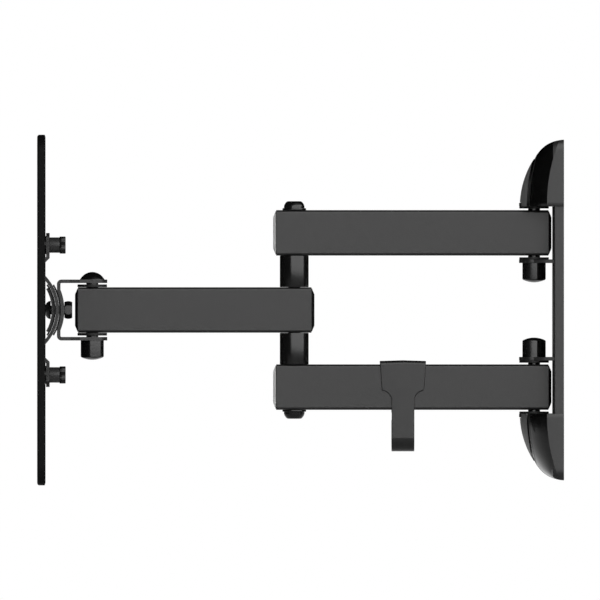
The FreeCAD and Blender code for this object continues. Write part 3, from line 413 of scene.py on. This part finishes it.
KEPT = {
    "wall_plate": "powder_coat", "upper_pivot_bracket": "powder_coat",
    "lower_pivot_bracket": "powder_coat", "upper_rear_arm": "powder_coat",
    "lower_rear_arm": "powder_coat", "front_arm": "powder_coat", "swivel_bracket": "powder_coat",
    # the television plate takes the darker coat, which is painted shade
    "tilt_plate": "powder_coat", "clamp_plate": "powder_coat", "tv_plate": "plate_coat_painted_shade",
    "outer_friction_pad": "friction_pad", "inner_friction_pad": "friction_pad",
    "upper_pivot_washers": "washer_plastic", "lower_pivot_washers": "washer_plastic",
    "head_washers": "washer_plastic",
    "upper_pivot_bolt": "black_steel", "lower_pivot_bolt": "black_steel",
    "upper_pivot_nut": "black_steel", "lower_pivot_nut": "black_steel",
    "head_pivot_nut": "black_steel", "tilt_nut": "black_steel", "elbow_rod": "black_steel",
    "threaded_bosses": "black_steel",
    "upper_arm_wall_bush": "bare_steel", "lower_arm_wall_bush": "bare_steel",
    "upper_arm_elbow_bush": "bare_steel", "lower_arm_elbow_bush": "bare_steel",
    "front_arm_elbow_bush": "bare_steel", "front_arm_head_bush": "bare_steel",
}
USUAL_EDGE = 0.25
FINE_EDGES = {"swivel_bracket": 0.12, "clamp_plate": 0.12, "tilt_plate": 0.12,
              "outer_friction_pad": 0.05, "inner_friction_pad": 0.05}
for name, finish_name in KEPT.items():
    soften_piece(name, finish_name, edge=FINE_EDGES.get(name, USUAL_EDGE))
print(len(KEPT), "pieces kept and softened")

# %% [markdown]
# ## Helpers for the new pieces
# Every new piece is a bmesh that ends the same way: doubles are merged, faces are turned
# outwards, and the mesh takes the place of one solid piece and rides on the same body.
# Turned pieces come from one half profile that is spun round, which is how a lathe makes
# them. A hexagon socket is pressed into a round top by pulling a ring of vertices onto a
# hexagon and pushing it down.


# %% New piece
def new_piece(form, name, body, slot, *finish_names):
    """Make a bmesh the visible form of a solid piece."""
    bmesh.ops.remove_doubles(form, verts=form.verts, dist=1e-6)
    bmesh.ops.recalc_face_normals(form, faces=form.faces)
    for face in form.faces:
        face.smooth = True
    for edge in form.edges:
        edge.smooth = edge.smooth and edge.calc_face_angle(0.0) < SMOOTH_ANGLE
    mesh = bpy.data.meshes.new(name)
    form.to_mesh(mesh)
    form.free()
    for finish_name in finish_names:
        mesh.materials.append(FINISHES[finish_name])
    piece = bpy.data.objects.new(name + "_detailed", mesh)
    scene.collection.objects.link(piece)
    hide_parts(name)
    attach(piece, body)
    return piece


def middle_of(name):
    """The middle of a solid piece's box at rest."""
    low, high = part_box(name)
    return (Vector(low) + Vector(high)) / 2


# %% Soften, turn, socket
def soften(form, width, segments=2, angle=SMOOTH_ANGLE, edges=None):
    """Round the edges of a form that turn by more than an angle."""
    sharp = [edge for edge in (edges or form.edges)
             if edge.is_manifold and edge.calc_face_angle(0) > angle]
    bmesh.ops.bevel(form, geom=sharp, offset=width * MM, offset_type="OFFSET", segments=segments,
                    profile=0.5, affect="EDGES", clamp_overlap=True, material=-1)


def turned(form, profile, steps=48):
    """Spin a half profile of (radius, height) in mm once round the Z axis."""
    spots = [form.verts.new((radius * MM, 0, height * MM)) for radius, height in profile]
    line = [form.edges.new(pair) for pair in zip(spots, spots[1:])]
    bmesh.ops.spin(form, geom=spots + line, cent=(0, 0, 0), axis=(0, 0, 1), angle=math.tau,
                   steps=steps, use_merge=True, use_duplicate=False)
    bmesh.ops.remove_doubles(form, verts=form.verts, dist=1e-7)


def open_ring(form, height):
    """The open edges that lie at one height."""
    return [edge for edge in form.edges
            if edge.is_boundary and all(abs(v.co.z - height * MM) < 1e-6 for v in edge.verts)]


def extruded_ring(form, ring):
    """Extrude a ring of edges and give the new vertices and edges."""
    made = bmesh.ops.extrude_edge_only(form, edges=ring)["geom"]
    return ([item for item in made if isinstance(item, bmesh.types.BMVert)],
            [item for item in made if isinstance(item, bmesh.types.BMEdge)
             and item.is_boundary])


def hex_socket(form, height, flats, depth):
    """Press a hexagon socket into the round opening that a turned top leaves at a height."""
    spots, ring = extruded_ring(form, open_ring(form, height))
    for spot in spots:
        turn = math.atan2(spot.co.y, spot.co.x) % math.radians(60) - math.radians(30)
        spot.co.xy = spot.co.xy.normalized() * (flats / 2 * MM / math.cos(turn))
    spots, ring = extruded_ring(form, ring)
    bmesh.ops.translate(form, verts=spots, vec=(0, 0, -depth * MM))
    bmesh.ops.contextual_create(form, geom=ring)


def turn_and_place(form, rotation, place):
    """Turn a finished form about the origin and put it in its place."""
    bmesh.ops.transform(form, matrix=Matrix.Translation(place) @ rotation, verts=form.verts)


UPRIGHT = Matrix.Identity(4)
UPSIDE_DOWN = Matrix.Rotation(math.pi, 4, "X")
print("helpers ready")

# %% [markdown]
# ## The covers over the wall pivots
# Each cover is one moulding with satin sides and a polished band that turns the corner, and
# a panel let into the front behind a small groove. The band and the groove are coloured
# near-black, which is painted shade for the dark that polished plastic mirrors; their gloss is
# real. The ridge beside the groove keeps the satin colour. The front panel is a light grey,
# which is painted light. Its depth follows an oval from the arm to the tip. A subdivided box
# would give soft, vague borders, so the cover is lofted instead: one half of its foot is a
# chain of points, the chain is extruded row by row up the oval, and each row is pulled onto
# its own section. Mirror gives the other half.

# %% Cover: the oval outline
cover_low, cover_high = (Vector(corner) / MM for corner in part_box("upper_cover"))
COVER_WIDE = cover_high.x
COVER_DEEP = -cover_low.y
COVER_TALL = cover_high.z - cover_low.z
TIP_RADIUS = 20.0
FRONT_RADIUS = (COVER_DEEP ** 2 + (COVER_TALL - TIP_RADIUS) ** 2 - TIP_RADIUS ** 2) / (
    2 * (COVER_DEEP - TIP_RADIUS))
ARCS_MEET = math.asin((COVER_TALL - TIP_RADIUS) / (FRONT_RADIUS - TIP_RADIUS))


def cover_outline(turn):
    """Height and depth of the oval where its surface has turned by an angle."""
    if turn < ARCS_MEET:
        return (FRONT_RADIUS * math.sin(turn),
                FRONT_RADIUS * math.cos(turn) - FRONT_RADIUS + COVER_DEEP)
    return COVER_TALL - TIP_RADIUS + TIP_RADIUS * math.sin(turn), TIP_RADIUS * math.cos(turn)


print("front radius", round(FRONT_RADIUS, 1), "mm, arcs meet at", round(math.degrees(ARCS_MEET), 1))

# %% Cover: one row of points
BAND_START = math.radians(15)          # the polished band leaves the side at a slant
BAND_STEPS = 8
PANEL_STEPS = 9
SIDE_LEDGE = 0.35
SHOULDER = 7.2                         # the least depth at which the band starts
SHOULDER_SLANT = 0.28                  # how fast the cover narrows between side and band
RIDGE_WIDE, GROOVE_WIDE, GROOVE_SUNK = 0.7, 1.3, 0.6
TIP_START = 37.0                       # the height from which the sides lean in
TIP_LEAN = 3.5


def cover_row(turn):
    """The points of one row, from the wall round to the middle of the front, in mm."""
    height, deep = cover_outline(turn)
    side = min(11.2 + 0.016 * height - 0.0046 * height ** 2, deep * 0.75)
    shoulder = max(side, min(SHOULDER, deep * 0.85))
    border = min(22.4 - 0.0045 * height ** 2, deep)
    tip = max(0.0, (height - TIP_START) / (COVER_TALL - TIP_START))
    half = COVER_WIDE - TIP_LEAN * (1 - math.sqrt(max(0.0, 1 - tip * tip)))
    inner_half = half - (shoulder - side) * SHOULDER_SLANT
    start = math.sin(BAND_START)

    def on_dome(share, sunk=0.0):
        """A point where the surface has covered a share of the way from side to front."""
        sine = start + share * (1 - start)
        across = math.sqrt(max(0.0, 1 - sine * sine)) / math.cos(BAND_START)
        across *= inner_half - SIDE_LEDGE
        depth = shoulder + share * (deep - shoulder)
        return Vector((max(0.0, across - sunk * 0.5), -(depth - sunk), height))

    border = max(border, shoulder)
    panel = (border - shoulder) / (deep - shoulder) if deep - shoulder > 0.01 else 1.0
    one_mm = 1 / max(deep - shoulder, 0.1)
    row = [Vector((half, 0, height)), Vector((half, -side, height)),
           Vector((inner_half, -shoulder, height))]
    first = math.asin(start)
    last = math.asin(min(1.0, start + panel * (1 - start)))
    for step in range(BAND_STEPS + 1):
        sine = math.sin(first + (last - first) * step / BAND_STEPS)
        row.append(on_dome((sine - start) / (1 - start)))
    inner = min(1.0, panel + RIDGE_WIDE * one_mm)
    outer = min(1.0, inner + GROOVE_WIDE * one_mm)
    row.append(on_dome(inner, 0.0))
    row.append(on_dome(inner, min(GROOVE_SUNK, deep - border)))
    row.append(on_dome(outer, min(GROOVE_SUNK, deep - border)))
    first = math.asin(min(1.0, start + outer * (1 - start)))
    for step in range(PANEL_STEPS + 1):
        sine = math.sin(first + (math.pi / 2 - first) * step / PANEL_STEPS)
        row.append(on_dome(min(1.0, (sine - start) / (1 - start))))
    return row


print("points in a row:", len(cover_row(0)))

# %% Cover: loft, notch and mirror
FRONT_ROWS = 12
TIP_ROWS = 11
POINTS_IN_ROW = len(cover_row(0))
SIDE_END = 1                           # the point of a row where the flat side ends
# cover slots: satin, the band's painted shade, the front panel's painted light
SATIN, POLISHED_PAINTED_SHADE, PANEL_PAINTED_LIGHT = range(3)
FIRST_PANEL_STRIP = POINTS_IN_ROW - 1 - PANEL_STEPS
RIDGE_STRIP = FIRST_PANEL_STRIP - 4
NOTCH_HALF, NOTCH_TALL = 10.2, 2.7


def finish_and_painted_light_of_strip(strip):
    """Which finish a strip of faces has, counted from the wall to the middle of the front.
    The band and its groove take painted shade, and the front panel takes painted light.
    """
    if strip in (0, 1, RIDGE_STRIP):
        return SATIN
    return PANEL_PAINTED_LIGHT if strip >= FIRST_PANEL_STRIP else POLISHED_PAINTED_SHADE


def cut_at(form, place, normal):
    """Cut every face of a form along a plane and keep both sides."""
    everything = form.verts[:] + form.edges[:] + form.faces[:]
    bmesh.ops.bisect_plane(form, geom=everything, dist=1e-5, plane_co=place, plane_no=normal)


def cover_form():
    """The right half of the upper cover lofted from its foot, notched and mirrored."""
    form = bmesh.new()
    turns = [ARCS_MEET * step / FRONT_ROWS for step in range(FRONT_ROWS)]
    turns += [ARCS_MEET + (math.pi / 2 - ARCS_MEET) * step / TIP_ROWS
              for step in range(TIP_ROWS + 1)]
    spots = [form.verts.new(point) for point in cover_row(turns[0])]
    chain = [form.edges.new(pair) for pair in zip(spots, spots[1:])]
    for turn in turns[1:]:
        made = bmesh.ops.extrude_edge_only(form, edges=chain)["geom"]
        spots = [item for item in made if isinstance(item, bmesh.types.BMVert)]
        chain = [item for item in made if isinstance(item, bmesh.types.BMEdge)
                 and all(vert in spots for vert in item.verts)]
        for spot, point in zip(spots, cover_row(turn)):
            spot.co = point
    form.verts.index_update()
    for face in form.faces:
        face.material_index = finish_and_painted_light_of_strip(min(v.index % POINTS_IN_ROW for v in face.verts))
    for edge in form.edges:
        edge.smooth = any(vert.index % POINTS_IN_ROW != SIDE_END for vert in edge.verts)
    bmesh.ops.remove_doubles(form, verts=form.verts, dist=1e-3)
    cut_at(form, (NOTCH_HALF, 0, 0), (1, 0, 0))
    cut_at(form, (0, 0, NOTCH_TALL), (0, 0, 1))
    in_notch = [face for face in form.faces
                if face.calc_center_median().x < NOTCH_HALF
                and face.calc_center_median().z < NOTCH_TALL]
    on_mirror = [face for face in form.faces if all(vert.co.x < 1e-3 for vert in face.verts)]
    bmesh.ops.delete(form, geom=in_notch + on_mirror, context="FACES")
    everything = form.verts[:] + form.edges[:] + form.faces[:]
    bmesh.ops.mirror(form, geom=everything, matrix=UPRIGHT, merge_dist=1e-3, axis="X")
    bmesh.ops.translate(form, verts=form.verts, vec=(0, 0, cover_low.z))
    bmesh.ops.scale(form, verts=form.verts, vec=(MM, MM, MM))
    return form


COVER_SKIN = 1.8
COVER_LIP = 0.15
for name, side in (("upper_cover", 1), ("lower_cover", -1)):
    form = cover_form()
    bmesh.ops.scale(form, verts=form.verts, vec=(1, 1, side))
    # the last two finishes are the band's painted shade and the front panel's painted light
    cover = new_piece(form, name, "wall", "cover_plastic",
                      "cover_satin", "cover_gloss_painted_shade", "cover_front_painted_light")
    skin = cover.modifiers.new("skin", "SOLIDIFY")
    skin.thickness = COVER_SKIN * MM
    skin.offset = -1
    lip = cover.modifiers.new("soft_lip", "BEVEL")
    lip.width = COVER_LIP * MM
    lip.segments = 2
    lip.limit_method = "ANGLE"
    lip.angle_limit = math.radians(60)
    outwards = sum(polygon.normal.y * polygon.area for polygon in cover.data.polygons) < 0
    print(name, len(cover.data.polygons), "faces, outwards:", outwards)

# %% [markdown]
# ## End caps of the arms
# A plastic plug closes each end of a tube. It has a narrow neck, which shows as a dark line
# between tube and cap, and a face that bulges a little and slopes down to all four sides. A
# rectangle with rounded corners is extruded step by step and scaled at each step. The caps
# at the elbow end of the rear arms have a pale grey face, which is a painted reflection of
# the white that a glossy cap mirrors at a grazing angle; their neck keeps the black plastic.

# %% End caps
CAP_STEPS = [
    # how far out of the tube, width, height
    (-3.0, 11.6, 26.6), (0.0, 11.6, 26.6), (0.0, 13.4, 28.4), (0.35, 13.4, 28.4),
    (0.35, 14.6, 28.7), (0.66, 13.8, 26.9), (1.1, 12.3, 24.8), (1.5, 10.9, 23.0),
    (1.8, 9.7, 21.6), (2.0, 8.6, 20.4),
]
NECK_END = 0.35
CAP_CORNER = 1.4


def end_cap(name, body, reach, level, outwards, finish_name):
    """Extrude one cap along Z, then turn it onto the end of its arm."""
    form = bmesh.new()
    out, wide, tall = CAP_STEPS[0]
    bmesh.ops.create_grid(form, x_segments=1, y_segments=1, size=0.5)
    bmesh.ops.scale(form, verts=form.verts, vec=(wide * MM, tall * MM, 1))
    bmesh.ops.translate(form, verts=form.verts, vec=(0, 0, out * MM))
    bmesh.ops.bevel(form, geom=form.verts[:], offset=CAP_CORNER * MM, offset_type="OFFSET",
                    segments=4, profile=0.5, affect="VERTICES", material=-1)
    face = form.faces[:][0]
    face.copy()                            # stays behind as the back of the plug
    for further, next_wide, next_tall in CAP_STEPS[1:]:
        face = bmesh.ops.extrude_discrete_faces(form, faces=[face])["faces"][0]
        bmesh.ops.scale(form, verts=face.verts, vec=(next_wide / wide, next_tall / tall, 1))
        bmesh.ops.translate(form, verts=face.verts, vec=(0, 0, (further - out) * MM))
        out, wide, tall = further, next_wide, next_tall
    for face in form.faces:
        top = max(vert.co.z for vert in face.verts)
        face.material_index = int(top < NECK_END * MM + 1e-6)      # plug and neck are black
    turn_and_place(form, Matrix.Rotation(math.radians(90 if outwards < 0 else -90), 4, "X"),
                   (0, -reach * MM, level * MM))
    flatten_faces(new_piece(form, name, body, "cap_plastic", finish_name, "cap_plastic"))


REAR_LEVEL = 50.9                          # above and below the front arm
REAR_TUBE = (9.7, 189.3)                   # where a tube starts and ends, out from the wall
FRONT_TUBE = (166.1, 320.1)
for half, side in (("upper", 1), ("lower", -1)):
    level = REAR_LEVEL * side
    end_cap(f"{half}_arm_wall_end_cap", "rear_arms", REAR_TUBE[0], level, 1, "cap_plastic")
    # the pale face of these caps is painted reflection
    end_cap(f"{half}_arm_elbow_end_cap", "rear_arms", REAR_TUBE[1], level, -1, "pale_cap_painted_reflection")
end_cap("front_arm_elbow_end_cap", "front", FRONT_TUBE[0], 0, 1, "cap_plastic")
end_cap("front_arm_head_end_cap", "front", FRONT_TUBE[1], 0, -1, "cap_plastic")
print("end caps done")

# %% [markdown]
# ## Caps over the pivot nuts
# A hexagonal plastic cap hides each nut. Its flats meet in slightly rounded corners, and its
# end is a shallow dome. It starts as a circle of six corners. The corners are rounded, each
# side is divided so that it can bulge and the dome can meet it in an arc, and the top is
# drawn in ring by ring onto a ball. The underside is pressed in to leave room for the nut
# and the end of the bolt.

# %% Nut caps
NUT_CAP_FLATS = 14.4
NUT_CAP_TALL = 12.8
NUT_CAP_DOME = 2.3
NUT_CAP_CORNER = NUT_CAP_FLATS / math.sqrt(3)
NUT_CAP_BALL = (NUT_CAP_CORNER ** 2 + NUT_CAP_DOME ** 2) / (NUT_CAP_DOME * 2)
FLAT_BULGE = 0.4
CORNER_ROUND = 0.7
HOLLOW = ((0.6, 6.6), (2.5, 3.9))          # how much narrower and how much deeper, twice
DOME_RINGS = ((1.0, 0.35), (0.955, 0), (0.85, 0), (0.7, 0), (0.5, 0), (0.3, 0), (0.1, 0))


def onto_ball(spots, lift=0.0):
    """Lift each vertex to the ball that shapes the domed end."""
    for spot in spots:
        spot.co.z = (NUT_CAP_TALL - NUT_CAP_BALL - lift
                     + math.sqrt(NUT_CAP_BALL ** 2 - spot.co.xy.length_squared))


def crown_flats(spots):
    """Draw the corners of a hexagon ring in a little, so that its flats bulge."""
    for spot in spots:
        off_flat = (math.atan2(spot.co.y, spot.co.x) + math.radians(30)) % math.radians(60)
        share = math.tan(off_flat - math.radians(30)) / math.tan(math.radians(30))
        spot.co.xy *= 1 + (0.1 - FLAT_BULGE * share * share) / (NUT_CAP_FLATS / 2)


def nut_cap(name, body, opening, side, facing):
    """One nut cap that stands on a level, with a flat facing an angle from +X towards +Y."""
    form = bmesh.new()
    bmesh.ops.create_circle(form, cap_ends=True, segments=6, radius=NUT_CAP_CORNER)
    bmesh.ops.bevel(form, geom=form.verts[:], offset=CORNER_ROUND, offset_type="OFFSET",
                    segments=4, profile=0.5, affect="VERTICES", material=-1)
    long_sides = [edge for edge in form.edges if edge.calc_length() > 2]
    bmesh.ops.subdivide_edges(form, edges=long_sides, cuts=7)
    crown_flats(form.verts)
    face = form.faces[:][0]
    under = face.copy()
    for narrower, deeper in HOLLOW:
        bmesh.ops.inset_region(form, faces=[under], thickness=narrower, use_boundary=True,
                               use_even_offset=True)
        under = bmesh.ops.extrude_discrete_faces(form, faces=[under])["faces"][0]
        bmesh.ops.translate(form, verts=under.verts, vec=(0, 0, deeper))
    share = 1.0
    for next_share, lift in DOME_RINGS:
        face = bmesh.ops.extrude_discrete_faces(form, faces=[face])["faces"][0]
        bmesh.ops.scale(form, verts=face.verts, vec=(next_share / share, next_share / share, 1))
        onto_ball(face.verts, lift)
        share = next_share
    bmesh.ops.scale(form, verts=form.verts, vec=(MM, MM, MM))
    way_up = UPRIGHT if side > 0 else UPSIDE_DOWN
    centre = middle_of(name)
    turn_and_place(form, Matrix.Rotation(math.radians(facing), 4, "Z") @ way_up,
                   (centre.x, centre.y, opening * MM))
    flatten_faces(new_piece(form, name, body, "cap_plastic", "nut_cap_plastic"))


WALL_CAP_FOOT, WALL_CAP_FACING = 31.0, -14
HEAD_CAP_FOOT, HEAD_CAP_FACING = -20.1, 17
nut_cap("upper_pivot_nut_cap", "wall", WALL_CAP_FOOT, -1, WALL_CAP_FACING)
nut_cap("lower_pivot_nut_cap", "wall", -WALL_CAP_FOOT, 1, WALL_CAP_FACING)
nut_cap("head_nut_cap", "head", HEAD_CAP_FOOT, -1, HEAD_CAP_FACING)
print("nut caps on a ball of", round(NUT_CAP_BALL, 1), "mm")

# %% [markdown]
# ## Turned pieces of the elbow
# Two posts keep the arms apart on the elbow rod, and a smooth cap nut with a flange closes
# each end of it. All are plain lathe work, so each is a half profile spun round. The flange
# nut has no flats, so it gets a hexagon socket in its top.

# %% Posts and cap nuts
POST = [(4.05, 0), (9.1, 0), (9.42, 0.12), (9.5, 0.45), (9.5, 20.35), (9.42, 20.68), (9.1, 20.8),
        (4.05, 20.8), (4.05, 0)]
POST_FOOT = 15.1                           # just clear of the front arm
ELBOW = middle_of("elbow_rod")
for half, side in (("upper", 1), ("lower", -1)):
    form = bmesh.new()
    turned(form, POST, steps=64)
    turn_and_place(form, UPRIGHT if side > 0 else UPSIDE_DOWN,
                   (0, ELBOW.y, POST_FOOT * side * MM))
    new_piece(form, f"{half}_spacer_post", "rear_arms", "black_fastener", "black_steel")

CAP_NUT = [(4.1, 4.0), (4.1, 0), (7.5, 0), (7.74, 0.1), (7.8, 0.35), (7.8, 0.95), (7.7, 1.2),
           (7.4, 1.3), (6.85, 1.32), (6.78, 1.55), (6.76, 2.4), (6.66, 3.0), (6.42, 3.65),
           (6.05, 4.3), (5.6, 4.9), (5.15, 5.4), (4.75, 5.72), (4.3, 5.86), (3.7, 5.9), (2.9, 5.9)]
CAP_NUT_TOP, CAP_NUT_BORE_END = 5.9, 4.0
CAP_NUT_FOOT = 65.9
for end, side in (("top", 1), ("bottom", -1)):
    form = bmesh.new()
    turned(form, CAP_NUT)
    hex_socket(form, CAP_NUT_TOP, flats=4.6, depth=1.3)
    bmesh.ops.contextual_create(form, geom=open_ring(form, CAP_NUT_BORE_END))
    turn_and_place(form, UPRIGHT if side > 0 else UPSIDE_DOWN,
                   (0, ELBOW.y, CAP_NUT_FOOT * side * MM))
    new_piece(form, f"elbow_{end}_cap_nut", "rear_arms", "black_fastener", "black_steel")
print("elbow at", round(ELBOW.y / MM, 1), "mm")

# %% [markdown]
# ## Bolts of the head
# The head turns on a bolt with a smooth round head, and the tilt is locked by a smaller one
# with a hexagon socket that lies along the arm. Both are turned, and their shanks end in a
# chamfer.

# %% Bolts
HEAD_DOME = [(8.1, 0), (8.08, 0.12), (7.65, 0.8), (7.05, 1.6), (6.3, 2.4), (5.4, 3.2), (4.3, 3.9),
             (3.1, 4.45), (1.6, 4.87), (0, 5.0)]
HEAD_BOLT = [(0, -48.2), (3.2, -48.2), (3.95, -47.4), (3.95, 0)] + HEAD_DOME
HEAD_BOLT_SEAT = 20.1
form = bmesh.new()
turned(form, HEAD_BOLT)
turn_and_place(form, UPRIGHT, (0, middle_of("head_pivot_bolt").y, HEAD_BOLT_SEAT * MM))
new_piece(form, "head_pivot_bolt", "head", "black_fastener", "black_steel")

TILT_BOLT = [(0, -14.2), (2.4, -14.2), (3.0, -13.6), (3.0, 0), (5.9, 0), (6.0, 0.15), (5.95, 0.7),
             (5.65, 1.6), (5.1, 2.4), (4.3, 3.05), (3.5, 3.4), (2.9, 3.56), (2.5, 3.6)]
TILT_BOLT_TOP = 3.6
TILT_BOLT_SEAT = 338.1
form = bmesh.new()
turned(form, TILT_BOLT)
hex_socket(form, TILT_BOLT_TOP, flats=4.0, depth=2.0)
turn_and_place(form, Matrix.Rotation(math.radians(90), 4, "X"), (0, -TILT_BOLT_SEAT * MM, 0))
new_piece(form, "tilt_bolt", "head", "black_fastener", "black_steel")
print("bolts done")

# %% [markdown]
# ## Thumb screws
# Four screws hold the tilt plate on the television plate and are turned by hand. Each has a
# plain barrel and a knurled grip, which is darker. The knurl is real geometry: the grip is
# spun in many narrow steps, and every other line of vertices is pushed in a little.

# %% Thumb screws
KNURL_LINES = 36
GRIP_START, GRIP_END = 6.72, 10.56
GRIP_RADIUS, GROOVE_RADIUS, GRIP_INNER = 5.6, 5.36, 5.3
SCREW = [(0, -7.9), (2.2, -7.9), (2.5, -7.6), (2.5, 0), (4.75, 0), (5.0, 0.1), (5.05, 0.35),
         (5.05, 6.7), (5.5, 6.75), (5.6, 6.95), (5.6, 10.3), (5.4, 10.55), (5.2, 10.6), (3.4, 10.6),
         (3.1, 10.3), (0, 10.2)]


def thumb_screw_form():
    """One thumb screw along Z, its barrel standing on the origin, with a knurled grip."""
    form = bmesh.new()
    turned(form, SCREW, steps=KNURL_LINES * 2)
    step = math.tau / (KNURL_LINES * 2)
    for spot in form.verts:
        line = round(math.atan2(spot.co.y, spot.co.x) / step)
        on_grip = (GRIP_START * MM < spot.co.z < GRIP_END * MM
                   and spot.co.xy.length > GRIP_INNER * MM)
        if on_grip and line % 2:
            spot.co.xy *= GROOVE_RADIUS / GRIP_RADIUS
    for face in form.faces:
        face.material_index = int(face.calc_center_median().z > GRIP_START * MM)
    return form


screws = bmesh.new()
SCREW_ACROSS, SCREW_UP, SCREW_START = 22.0, 42.84, 338.9
for across in (-1, 1):
    for up in (-1, 1):
        form = thumb_screw_form()
        turn_and_place(form, Matrix.Rotation(math.radians(-90), 4, "X"),
                       (SCREW_ACROSS * across * MM, -SCREW_START * MM, SCREW_UP * up * MM))
        part = bpy.data.meshes.new("one_screw")
        form.to_mesh(part)
        form.free()
        screws.from_mesh(part)
        bpy.data.meshes.remove(part)
new_piece(screws, "thumb_screws", "tv_side", "black_fastener", "screw_steel", "black_steel")
print("four thumb screws with", KNURL_LINES, "ridges each")

# %% [markdown]
# ## The cable clip
# The clip is one strip of plastic, moulded round the lower arm and on down into a loop. Its
# solid model has the right outline, so a copy of that mesh is the start here. The copy is
# merged and its flat triangles are melted into whole faces. A cut down the middle makes the
# low ridge on its roof and the crease down its side, and a bevel rounds the outer edges.

# %% Cable clip
form = bmesh.new()
form.from_mesh(nodes["cable_clip"].data)
bmesh.ops.remove_doubles(form, verts=form.verts, dist=1e-6)
bmesh.ops.dissolve_limit(form, angle_limit=math.radians(1), verts=form.verts, edges=form.edges)
clip_low, clip_high = (Vector(corner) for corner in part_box("cable_clip"))
CLIP_MIDDLE = (clip_low.y + clip_high.y) / 2
CLIP_CREASE = 0.45
ROOF_LIFT = 0.3
ROOF_ROUND, EDGE_ROUND = 2.4, 0.4
cut_at(form, (0, CLIP_MIDDLE, 0), (0, 1, 0))
for spot in form.verts:
    in_middle = abs(spot.co.y - CLIP_MIDDLE) < 1e-5
    if spot.co.z > clip_high.z - 1e-5:
        spot.co.z += (ROOF_LIFT + CLIP_CREASE * in_middle) * MM
    if in_middle and spot.co.x > clip_high.x - 1e-5:
        spot.co.x += CLIP_CREASE * MM
roof_edges = [edge for edge in form.edges
              if all(vert.co.z > clip_high.z and vert.co.x > clip_high.x - 1e-5
                     for vert in edge.verts)]
print("edges along the roof:", len(roof_edges))
soften(form, ROOF_ROUND, segments=4, edges=roof_edges)
soften(form, EDGE_ROUND, segments=3, angle=math.radians(50))
flatten_faces(new_piece(form, "cable_clip", "clip", "clip_plastic", "clip_plastic"))
print("clip middle at", round(CLIP_MIDDLE / MM, 1), "mm")
